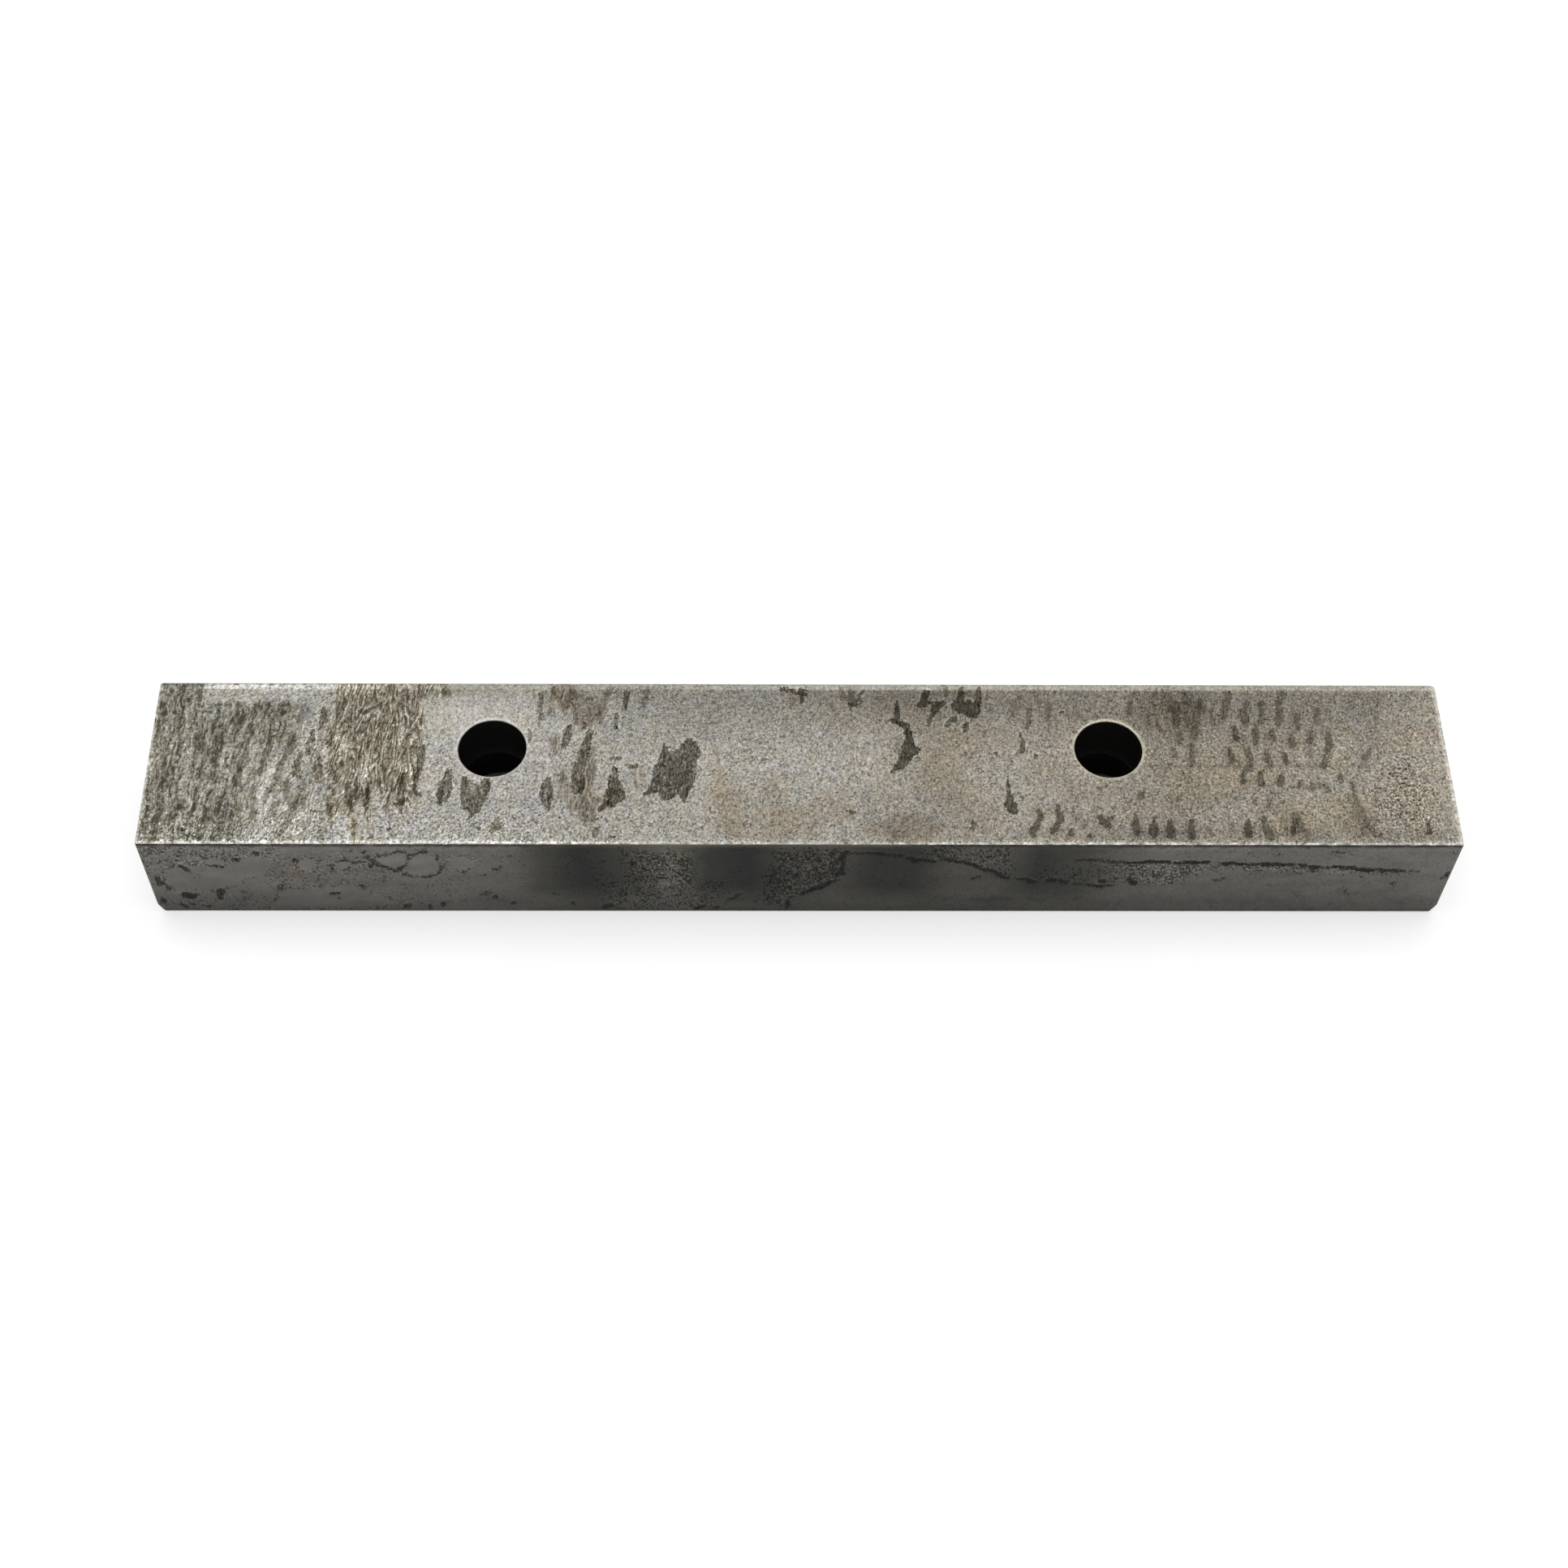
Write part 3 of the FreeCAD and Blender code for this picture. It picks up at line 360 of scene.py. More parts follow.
# The marks of the front side
FRONT_CRISP = [
    (0.95, 0.1, [(-60.4, 3.4, 0.3), (-60, 3, 0.5), (-59.3, 3.2, 0.15)]),
    (0.8, 0.3, [(-56.7, 4.1, 0.25), (-57.1, 2.8, 0.22)]),
    (0.8, 0.2, [(-62.7, 2.4, 0.18), (-62.8, 1.8, 0.2)]),
    (0.8, 0.2, [(-62.6, 6.5, 0.2), (-62.4, 5.4, 0.28)]),
    (0.6, 0.2, [(-61.7, 4.9, 0.1), (-61.8, 4.3, 0.15)]),
    (0.75, 0.2, [(-61.1, 1.6, 0.15), (-60.6, 0.9, 0.15)]), (0.6, 0.2, [(-59.9, 1.4, 0.2)]),
    (0.5, 0.2, [(-58.5, 1, 0.15)]), (0.85, 0.2, [(-52.3, 10.9, 0.25)]),
    (0.8, 0.2, [(-54.4, 9.7, 0.22), (-54.1, 9.6, 0.12)]),
    (0.7, 0.2, [(-59.9, 8.6, 0.2), (-59.3, 7.8, 0.14)]), (0.7, 0.2, [(-56.8, 8.6, 0.15), (-56, 8.5, 0.12)]),
    (0.8, 0.2, [(-45.9, 3.5, 0.14), (-45.4, 3.6, 0.16)]), (0.5, 0.2, [(-45.4, 2.6, 0.12)]),
    (0.75, 0.2, [(-42.9, 4.95, 0.16)]), (0.7, 0.2, [(-48.6, 9.8, 0.16), (-48.9, 9.2, 0.08)]),
    (0.7, 0.2, [(-44.3, 9.7, 0.07), (-43.8, 9.6, 0.07)]),
    (0.6, 0.2, [(-43.1, 9.3, 0.14), (-42.1, 9.4, 0.1)]),
    (0.65, 0.2, [(-43.8, 8.1, 0.12), (-43.6, 8.5, 0.1)]), (0.6, 0.2, [(-45.4, 8, 0.1)]),
    (0.8, 0.2, [(-41.9, 11.2, 0.08), (-41.5, 9.8, 0.12), (-41.6, 8.6, 0.1)]),
    (0.8, 0.2, [(-41.1, 9.8, 0.1), (-40.9, 8.9, 0.1), (-39.8, 8.2, 0.1), (-39.2, 7.6, 0.14)]),
    (0.75, 0.2, [(-39, 8, 0.07), (-38.4, 8.5, 0.06), (-38.1, 9.2, 0.05)]),
    (0.65, 0.2, [(-40.9, 10.3, 0.06), (-39.3, 10.9, 0.07), (-38.6, 11.4, 0.06)]),
    (0.65, 0.2, [(-38.3, 11.3, 0.06), (-37.5, 10.8, 0.1), (-37.3, 10.4, 0.06)]),
    (0.6, 0.2, [(-37, 10.9, 0.05), (-36, 11.1, 0.07), (-36, 11.6, 0.05)]),
    (0.6, 0.2, [(-38.6, 7.1, 0.1), (-37.6, 6.8, 0.1), (-36.4, 6.6, 0.12), (-35.2, 7.2, 0.1),
        (-34.7, 8.6, 0.1)]), (0.55, 0.2, [(-32.7, 7.5, 0.2)]),
    (0.5, 0.2, [(-34.9, 10.4, 0.1), (-35.1, 9.6, 0.06)]),
    (0.65, 0.2, [(-36.5, 1.2, 0.12), (-36.5, 0.6, 0.12)]),
    (0.6, 0.2, [(-35.1, 1.9, 0.12), (-35.5, 0.9, 0.1)]),
    (0.6, 0.2, [(-38.6, 1.4, 0.1), (-39.1, 0.9, 0.15)]), (0.6, 0.2, [(-50.8, 5.2, 0.15), (-51, 4.3, 0.15)]),
    (0.7, 0.2, [(-29.7, 8.1, 0.16), (-29.4, 7.9, 0.1)]), (0.6, 0.2, [(-30.8, 7, 0.1)]),
    (0.6, 0.2, [(-29, 8.6, 0.12)]), (0.55, 0.2, [(-28, 10.5, 0.14)]), (0.45, 0.2, [(-26.8, 11, 0.12)]),
    (0.55, 0.2, [(-30, 2.9, 0.25)]), (0.6, 0.2, [(-19.2, 9.7, 0.13)]), (0.65, 0.2, [(-18.4, 5.6, 0.17)]),
    (0.6, 0.2, [(-16.3, 9.2, 0.12)]), (0.6, 0.2, [(-22.4, 1.8, 0.18)]),
    (0.65, 0.2, [(-18.8, 1.4, 0.28), (-19.4, 0.9, 0.2)]), (0.5, 0.2, [(-17.7, 3.2, 0.12)]),
    (0.5, 0.2, [(-24.2, 3.6, 0.15)]), (0.65, 0.2, [(-10.1, 0.9, 0.3), (-9.4, 1.2, 0.15)]),
    (0.65, 0.2, [(-8.2, 0.9, 0.2)]), (0.6, 0.2, [(-5.8, 3.6, 0.08), (-6.2, 3, 0.12), (-7, 2.6, 0.1)]),
    (0.55, 0.2, [(-8.6, 3.9, 0.14)]), (0.7, 0.2, [(-1, 3, 0.08), (-1.3, 1.6, 0.08), (-1.3, 0.5, 0.06)]),
    # rim of the pitted field at the middle
    (0.8, 0.2, [(4.2, 11.4, 0.2), (3.9, 10.2, 0.25), (4.1, 9, 0.14), (3.8, 7.3, 0.28)]),
    (0.8, 0.2, [(3.4, 6.2, 0.2), (2.6, 5.4, 0.28), (1.4, 4.6, 0.28), (0.2, 3.6, 0.2)]),
    # wavy line over the smooth lens
    (0.55, 0.2, [(4.6, 11, 0.1), (6.4, 11.2, 0.12), (8.4, 10.9, 0.12), (9.8, 10.7, 0.16)]),
    (0.85, 0.2, [(10.2, 10.3, 0.14), (10.9, 9.9, 0.24), (11.6, 10, 0.12)]),
    (0.8, 0.2, [(12.1, 9.8, 0.12), (12.8, 9.7, 0.14)]),
    (0.85, 0.2, [(13.4, 9.9, 0.14), (14.4, 9.8, 0.2), (15.6, 9.4, 0.12), (16.6, 9.1, 0.2),
        (17.2, 8.5, 0.12)]),
    (0.85, 0.2, [(17.4, 8.3, 0.14), (18.4, 7.9, 0.24), (19.2, 7.3, 0.2), (19.8, 6.6, 0.14),
        (20.4, 6.4, 0.1)]), (0.75, 0.2, [(21, 6.6, 0.12), (22.2, 6.1, 0.24), (23, 6, 0.14)]),
    (0.75, 0.2, [(24.2, 6.1, 0.2), (24.9, 6.3, 0.16)]), (0.7, 0.2, [(25.5, 6.2, 0.18), (25.9, 5.6, 0.18)]),
    (0.55, 0.2, [(26.8, 5.5, 0.12), (28, 5.4, 0.12)]),
    (0.8, 0.2, [(28.4, 5.2, 0.16), (29.2, 5, 0.2), (30.6, 5.1, 0.16)]), (0.7, 0.2, [(29.5, 6, 0.2)]),
    (0.5, 0.2, [(16.6, 6.3, 0.1), (17.4, 6.8, 0.1)]),
    # long dark line on the right
    (0.55, 0.2, [(26.6, 9.9, 0.1), (29, 9.8, 0.14), (31.4, 9.4, 0.12)]),
    (1, 0.2, [(31.5, 9.3, 0.14), (33.6, 9.6, 0.19), (35.4, 9.5, 0.16), (36.6, 9.3, 0.22), (38, 9.5, 0.22),
        (39.4, 9.4, 0.14)]),
    (1, 0.2, [(40.6, 9.2, 0.14), (42.2, 9.3, 0.19), (43.6, 9.1, 0.16), (46, 9.1, 0.24), (47.4, 9.1, 0.16)]),
    (0.9, 0.2, [(47.6, 9, 0.08), (49, 8.9, 0.12), (49.9, 8.5, 0.2), (51.2, 8.7, 0.1)]),
    (0.95, 0.2, [(51.6, 8.8, 0.11), (53, 8.5, 0.19), (54.4, 8.1, 0.27), (56.6, 8, 0.22),
        (58.4, 7.9, 0.24)]), (0.85, 0.2, [(32, 6.4, 0.16), (32.7, 5.6, 0.32)]),
    (0.6, 0.2, [(34.4, 7.2, 0.27), (35, 7.1, 0.16)]),
    (0.75, 0.2, [(40.2, 6.2, 0.08), (40.9, 6.2, 0.1), (41.4, 6.6, 0.08)]), (0.6, 0.2, [(54.9, 6.7, 0.14)]),
    (0.6, 0.2, [(58.2, 5.5, 0.22)]), (0.55, 0.2, [(46.1, 5.3, 0.1)]), (0.6, 0.2, [(46, 10.9, 0.1)]),
    (0.45, 0.2, [(51.3, 11.4, 0.2)]), (0.7, 0.2, [(63, 7.5, 0.15), (63.1, 6.9, 0.12)]),
    (0.5, 0.2, [(62.8, 6.5, 0.1)]), (0.55, 0.2, [(62.9, 11.2, 0.1)]),
    (0.3, 0.2, [(53.2, 4.8, 0.08), (54.4, 3, 0.1)]),
]
FRONT_HALOED = [
    (0.35, 0.9, [(-54.5, 3.9, 0.2)]), (0.45, 0.2, [(-30.6, 3.8, 0.2), (-31.2, 3.4, 0.15)]),
    (0.5, 0.2, [(-28.2, 1.8, 0.2)]),
    # long dark line on the right
    (0.5, 0.2, [(58.6, 7.9, 0.14), (60.2, 7.9, 0.08)]),
]
FRONT_SOFT = [
    (0.55, 0.2, 0.2, [(-53.9, 3.4, 0.15), (-54.5, 2.2, 0.2)]),
    # wavy line over the smooth lens
    (0.5, 0.2, 0.3, [(17.2, 2.4, 0.3), (19, 2.5, 0.45), (20.8, 2.6, 0.3)]),
    (0.5, 0.2, 0.3, [(22.4, 3, 0.2), (23, 2.5, 0.4), (23.8, 2.3, 0.3)]),
    (0.35, 0.2, 0.3, [(14.6, 2.6, 0.2), (15.6, 3.4, 0.2)]),
    (0.45, 1, 0.25, [(27.4, 2.7, 0.3), (28.1, 2.6, 0.2)]),
    (0.7, 0.2, 0.2, [(15.2, 0.4, 0.2), (16.6, 0.4, 0.25)]),
    # long dark line on the right
    (0.35, 0.2, 0.2, [(56.4, 10.2, 0.3)]), (0.35, 0.2, 0.3, [(45.3, 3.6, 0.2), (45.6, 2.6, 0.2)]),
    (0.35, 0.2, 0.3, [(43.9, 2, 0.2), (44, 0.8, 0.25)]),
    (0.3, 0.2, 0.3, [(49, 3.6, 0.4), (49.6, 3.2, 0.3)]),
    (0.35, 0.2, 0.2, [(54.6, 2.4, 0.25), (55, 1.4, 0.2)]),
    (0.35, 0.2, 0.25, [(59.6, 2, 0.2), (60, 1.4, 0.15)]), (0.35, 0.2, 0.3, [(38.3, 3.8, 0.25)]),
    (0.35, 0.2, 0.3, [(40.6, 2.2, 0.4)]),
]

# Smooth islands in the pitted skin of the front side: (lift, outline)
FRONT_ISLANDS = [
    (0.1, [(-62, 5.4), (-61.2, 8), (-60.6, 8.4), (-59.6, 7.9), (-58.6, 6), (-57.6, 8.2), (-55.6, 8.6),
        (-53, 10.4), (-51.4, 10.4), (-51, 8.8), (-52, 7), (-54.4, 6.2), (-55.4, 5), (-57, 4.2),
        (-59.6, 4.4), (-61, 4.5)]),
    (0.1, [(-57.4, 9.2), (-56.9, 10), (-55.9, 10), (-55.4, 9.2), (-56, 8.6), (-57, 8.6)]),
    (0.16, [(-48.7, 8.6), (-48.3, 9.9), (-47.4, 10), (-47, 9.2), (-47.3, 8.1), (-48.1, 7.9)]),
    (0.16, [(-45.2, 8.8), (-44.2, 9.5), (-43.5, 9.2), (-43.8, 8.2), (-44.8, 7.9)]),
    (0.1, [(-43.8, 10.4), (-43.6, 11.1), (-42.2, 11.1), (-42, 10.4)]),
    (0.16, [(-41, 9.7), (-40.2, 10.6), (-38.7, 11.2), (-37.9, 10.9), (-38.1, 9.2), (-39.1, 8.1),
        (-40.4, 8.9)]),
    (0.18, [(-37.9, 9.2), (-37.2, 10.5), (-35.8, 10.9), (-35, 10), (-34.9, 8.6), (-35.6, 7.3), (-37.4, 7),
        (-38.5, 7.6)]),
    (0.12, [(-34.3, 9), (-33.6, 10.2), (-32, 10.4), (-31.4, 9), (-32.6, 8), (-34, 8.2)]),
    (0.1, [(-51.6, 2.4), (-50.4, 4.4), (-46.2, 4.6), (-45, 5.2), (-43.8, 5.1), (-42, 3.4), (-40, 2),
        (-39.2, 1.4), (-45, 0.9), (-52, 1)]),
    (0.28, [(-14.2, 5.6), (-13.6, 6.2), (-12.7, 6), (-12.6, 5.3), (-13.3, 4.9), (-14, 5.1)]),
    (0.24, [(-13.6, 3.7), (-13.1, 4.2), (-12.6, 3.8), (-12.8, 3.1), (-13.4, 3.1)]),
    (0.22, [(-17.6, 2.8), (-16.8, 3.5), (-15.8, 3.2), (-15.8, 2.4), (-16.8, 2)]),
    (0.18, [(-18.2, 1.4), (-17.4, 1.9), (-16.5, 1.4), (-17, 0.8), (-18, 0.8)]),
    (0.22, [(-17, 10), (-16.8, 10.5), (-16.4, 10.4), (-16.4, 9.9)]),
    (0.2, [(-7.6, 1.4), (-6.8, 2.2), (-5.2, 2.2), (-3.8, 1.5), (-2, 1.4), (-1.6, 0.8), (-7, 0.7)]),
]

# Where small pits crowd together on it: (density, outline)
FRONT_PITTED = [
    (0.85, [(-63.5, 8.4), (-59.4, 8), (-55, 9.4), (-52.6, 10.8), (-50.2, 10), (-50.2, 12), (-63.5, 12.2)]),
    (0.6, [(-63.5, 4.2), (-61.8, 5.4), (-61.2, 8.4), (-63.5, 9)]),
    (0.5, [(-50.8, 10.5), (-52.4, 6), (-50.6, 4.2), (-46, 4.4), (-43, 5.6), (-38, 6.6), (-34.6, 6.9),
        (-31.5, 8.2), (-34.8, 11.4), (-43, 11.6)]),
    (0.35, [(-46, 4.6), (-34, 6.9), (-31, 5.2), (-33.5, 0.6), (-39, 0.8), (-41.6, 3)]),
    (0.45, [(-63.5, 0.3), (-52, 0.3), (-51.5, 2.4), (-57, 4), (-61.4, 4), (-63.5, 3.2)]),
    (1, [(-17.2, 11.6), (-14, 11.4), (-10.6, 11.2), (-10.3, 9), (-10.4, 5.6), (-12, 4), (-14.6, 4.4),
        (-16.8, 6.4), (-17.2, 9)]),
    (0.55, [(-19.8, 7), (-16.8, 6.4), (-14.4, 4.4), (-10.4, 5.4), (-8, 7), (-7, 4), (-8.4, 0.4),
        (-20, 0.4)]),
    (1, [(-3, 11.4), (-2.4, 9.4), (-3.4, 7.6), (-4, 5.8), (-3.4, 4.4), (-3.8, 2.4), (-1.4, 1.6),
        (-1.2, 2.6), (0, 3.4), (1.4, 4.4), (3.4, 6), (4.2, 7.4), (4, 9), (4.2, 11.6), (1.4, 11.8)]),
    (0.8, [(10, 10.6), (12, 10), (15, 9.6), (17.2, 8.8), (19, 7.6), (20.2, 6.6), (20.8, 8.2), (20, 12),
        (12.6, 12)]),
    (0.45, [(20.2, 6.5), (24, 6.2), (28, 5.4), (30.8, 5.2), (33.2, 5.4), (34.6, 9.2), (28.6, 9.6),
        (24, 8)]), (0.9, [(31.8, 9.2), (39.6, 9.3), (38.8, 7.2), (36.4, 5.6), (33, 5.4), (31.6, 7)]),
    (0.9, [(39.6, 9.3), (47.4, 9), (51, 8.6), (50.8, 7.6), (46.8, 7.8), (43, 8), (39.4, 8.2)]),
    (0.65, [(51, 8.6), (58.6, 7.8), (58.4, 7.2), (54, 7.2), (52, 7)]),
    (0.3, [(40, 11.7), (46.8, 11.6), (46.4, 10.8), (42, 10.9)]),
    (0.3, [(50.4, 12), (54, 11.9), (53.6, 10.4), (51, 10.9)]),
]
# Light flecks on the mounting face, and red rust on the front side as (strength, edge, points)
LIGHT_FLECKS = [
    [(21.9, 2.2, 0.05), (23.1, 1.2, 0.05), (23.3, -0.5, 0.04)],
    [(0.7, 5.5, 0.06), (0.8, 4.9, 0.14)],
]
RED_SPOTS = [
    (1, (-0.25, 0.25), [(-49.0, 7.5, 0.2), (-48.8, 6.9, 0.25)]),
    (0.6, (-0.5, 0.3), [(27.8, 2.6, 0.2)]),
]


# ---------------------------------------------------------------- noise and ramps
def lattice(ix, iy, seed):
    """A fixed pseudo-random number from 0 to 1 for each whole-number pair."""
    h = (ix * 374761393 + iy * 668265263 + seed * 982451653) & 0xFFFFFFFF
    h = ((h ^ (h >> 13)) * 1274126177) & 0xFFFFFFFF
    return ((h ^ (h >> 16)) & 0xFFFFFFFF) / 4294967296.0


def noise(x, y, seed):
    """Smooth gradient noise, about -0.7 to 0.7, with cells one unit across."""
    ix, iy = np.floor(x).astype(np.int64), np.floor(y).astype(np.int64)
    fx, fy = x - ix, y - iy
    u, v = (t * t * t * (t * (t * 6 - 15) + 10) for t in (fx, fy))

    def corner(dx, dy):
        angle = lattice(ix + dx, iy + dy, seed) * 2 * np.pi
        return np.cos(angle) * (fx - dx) + np.sin(angle) * (fy - dy)

    low = corner(0, 0) * (1 - u) + corner(1, 0) * u
    high = corner(0, 1) * (1 - u) + corner(1, 1) * u
    return low * (1 - v) + high * v


def ripple(x, seed, row=0.0):
    """Noise along one direction only."""
    return noise(x, np.full(x.shape, row), seed)


def cloudy(x, y, seed, octaves=3):
    """Noise with finer and weaker noise laid over it."""
    return sum(noise(x * 2**k, y * 2**k, seed + 31 * k) / 2**k for k in range(octaves))


def step(value, low, high):
    """Rises smoothly from 0 at low to 1 at high."""
    t = np.clip((value - low) / (high - low), 0, 1)
    return t * t * (3 - 2 * t)


def fall(value, low, high):
    """Falls smoothly from 1 at low to 0 at high."""
    return 1 - step(value, low, high)


def along(place, stops):
    """The value at a place, going evenly from stop to stop."""
    return np.interp(place, *zip(*stops))


# ---------------------------------------------------------------- shapes of marks
def along_segment(x, y, ax, ay, bx, by):
    """How far along a segment each point lies, from 0 to 1, and its distance from it."""
    dx, dy = bx - ax, by - ay
    t = np.clip(((x - ax) * dx + (y - ay) * dy) / (dx * dx + dy * dy), 0, 1)
    return t, np.hypot(x - ax - dx * t, y - ay - dy * t)


def stroke(x, y, points):
    """How deep each point lies inside a brush stroke through (x, y, half-width) points; negative outside."""
    if len(points) == 1:
        px, py, width = points[0]
        return width - np.hypot(x - px, y - py)
    depth = np.full(x.shape, -9.0)
    for (ax, ay, aw), (bx, by, bw) in zip(points, points[1:]):
        t, distance = along_segment(x, y, ax, ay, bx, by)
        depth = np.maximum(depth, aw + (bw - aw) * t - distance)
    return depth


def outline(x, y, points):
    """How deep each point lies inside a closed outline of (x, y) points; negative outside."""
    inside = np.zeros(x.shape, bool)
    nearest = np.full(x.shape, 9.0)
    for (ax, ay), (bx, by) in zip(points, points[1:] + points[:1]):
        nearest = np.minimum(nearest, along_segment(x, y, ax, ay, bx, by)[1])
        if ay != by:
            inside ^= ((ay > y) != (by > y)) & (x < ax + (bx - ax) * (y - ay) / (by - ay))
    return np.where(inside, nearest, -nearest)


def oval(x, y, cx, cy, rx, ry):
    """1 in the middle of an oval, falling smoothly to 0 at its rim."""
    return np.clip(1 - ((x - cx) / rx) ** 2 - ((y - cy) / ry) ** 2, 0, 1) ** 0.8


# ---------------------------------------------------------------- laying paint
def blank_paint(count):
    """Paint for that many points: what each of its layers holds before anything is laid on."""
    paint = {layer: np.zeros(count) for layer in PAINT_LAYERS}
    paint["tone"] += START_TONE
    paint["grain"] += START_GRAIN
    return paint


def raise_to(paint, layer, on, values):
    """Makes a layer at least that strong at the points."""
    paint[layer][on] = np.maximum(paint[layer][on], values)


def depth_inside(x, y, points):
    """The numbers of the places near a mark, and how deep each of them lies inside it."""
    across = list(zip(*points))
    is_stroke = len(across) == 3
    reach = MARK_REACH + (max(across[2]) if is_stroke else 0)
    inside = (x > min(across[0]) - reach) & (x < max(across[0]) + reach)
    inside &= (y > min(across[1]) - reach) & (y < max(across[1]) + reach)
    near = np.nonzero(inside)[0]
    shape = stroke if is_stroke else outline
    return near, shape(x[near], y[near], points)


def lay_soft(x, y, marks, paint):
    """Lays (strength, brown, softness, points) marks into the paint as stains with soft edges."""
    for strength, brown, softness, points in marks:
        near, depth = depth_inside(x, y, points)
        stain = step(depth, -softness, softness) * strength
        paint["tone"][near] *= 1 - (0.75 - 0.30 * brown) * stain
        paint["brown"][near] += stain * brown
        raise_to(paint, "band", near, 1.3 * stain * max(brown - 0.3, 0))
        raise_to(paint, "grime", near, 0.8 * stain)


def lay_crisp(x, y, marks, paint, haloed=False):
    """Lays (strength, brown, points) marks into the paint with crisp edges. A haloed mark is weaker and
    stands in a soft brown shade."""
    for strength, brown, points in marks:
        near, depth = depth_inside(x, y, points)
        if haloed:
            halo = step(depth, -0.45, 0.15) * strength
            paint["tone"][near] *= 1 - 0.46 * halo
            paint["brown"][near] += 0.30 * halo
            paint["olive"][near] += 0.30 * halo
            strength *= 0.62
        cover = np.clip(0.5 + 0.5 * (depth + MARK_SWELL) / MARK_BLUR, 0, 1)
        stronger = cover * strength >= paint["cover"][near] * paint["strength"][near]
        chosen = near[stronger]
        paint["cover"][chosen] = cover[stronger]
        paint["strength"][chosen] = strength
        paint["hue"][chosen] = brown


# ---------------------------------------------------------------- paint of each side
def top_skins(x, y):
    """How much there is of the old streaked skin, its sparse part, the bare strip behind it and the band."""
    border = 1.3 * noise(x / 2.1, y / 2.4, 5)
    ragged = 0.55 * noise(x / 0.5, y / 1.6, 7)
    at_end = fall(x - 0.9 * border, -54.8, -52.2)
    at_back = fall(x - border, -50.6, -48.6) * step(y + border, -1, 3)
    bare = step(y + 0.5 * ripple(x / 1.2, 6, 0.3), 6.6, 7.3) * step(x, -59.3, -58.8)
    old = np.maximum(at_end, at_back) * (1 - bare)
    sparse = step(x, -56, -54) * fall(x, -46.5, -44.5) * fall(y, 5.4, 7.9)
    band = step(x + 0.5 * border + ragged, -46.4, -45.4) * fall(x - 0.6 * border - ragged, -37.6, -36.6)
    back_end = step(x, -45, -44) * fall(x - border - ragged, -35.6, -34.2) * step(y, 7.0, 8.4)
    strands = step(noise(x / 0.8, y / 4.0, 8) + 0.1 * y, -0.76, -0.31)
    band = np.maximum(band, back_end) * (1 - (1 - strands) * fall(y, -4.1, -1.6))
    return old, sparse, bare, band


def lay_top_ground(x, y, paint):
    """The ground steel of the mounting face: its tone, lighter to the left partly as painted light, with
    painted shade from the jaw behind on its back half, its cloudy brown and olive, and its large stains.
    """
    mottle = 0.06 * cloudy(x / 5.0, y / 5.0, 71) + 0.07 * noise(x / 1.7, y / 2.3, 72)
    mottle += 0.10 * noise(x / 0.8, y, 75)
    mottle += 0.14 * step(x, 12, 24) * noise(x / 1.8, y / 3.0, 76)
    tone = along(x, TOP_TONE_AND_FALLOFF) * (1 + mottle)
    # painted shade from the jaw behind over the back half of the mounting face
    tone *= 1 - 0.22 * step(y, -1, 7) * step(x, -26, -14) * fall(x, 55, 61)
    tone *= 1 + along(x, TOP_TO_FRONT) * fall(y, -6, 1)
    tone *= 1 + along(x, TOP_BACK_JAW_SHADE) * step(y, 3, 8)
    past_patch, past_middle = step(x, -26, -18), step(x, -2, 16)
    brown = 0.06 + 0.06 * past_patch + 0.30 * past_middle + 0.30 * cloudy(x / 3.2, y / 3.6, 73)
    olive = 0.06 + 0.10 * past_patch + 0.06 * past_middle + 0.16 * cloudy(x / 3.0, y / 3.5, 74, 2)
    wavy_x = x + 0.8 * noise(x / 1.5, y / 1.5, 81)
    wavy_y = y + 0.8 * noise(x / 1.5, y / 1.5, 82)
    back_stain = step(wavy_y, 7.0, 8.4) * step(x, -42, -38) * fall(x, -18, -10)
    smudge = oval(x, y, 37.2, 6.8, 4.4, 4.2)
    tone *= (1 - 0.22 * back_stain) * (1 - 0.16 * smudge)
    olive += 0.35 * back_stain + 0.3 * smudge
    grime = 0.30 * step(x, 20, 34)
    for cx, cy, rx, ry, hue, dark in TOP_STAINS:
        spot = oval(wavy_x, wavy_y, cx, cy, rx, ry)
        brown += spot * hue * 0.7
        tone *= 1 - spot * dark
        grime = np.maximum(grime, spot * 2.0 * dark)
    paint.update(tone=tone, brown=brown, olive=olive, grime=grime, streaks=0.45 * smudge)


def lay_top_edges(x, y, bare, paint):
    """The bright strip by the back edge of the mounting face, a painted highlight, and the dull line and the
    painted highlight on the rim by its front edge.
    """
    # painted highlight along the rounded back edge
    strip = step(y, 8.37, 8.77) * fall(y, 9.0, 9.35)
    paint["tone"] *= (1 + strip * along(x, BACK_SHINE)) * (1 + 0.14 * bare * fall(x, -41, -39))
    paint["tone"] *= 1 - 0.16 * fall(y, -8.1, -7.3) * step(y, -9.2, -8.8) * step(x, 12, 32)
    # painted highlight on the rim of the front edge
    paint["tone"] *= 1 + 0.10 * fall(y, -9.2, -8.9)


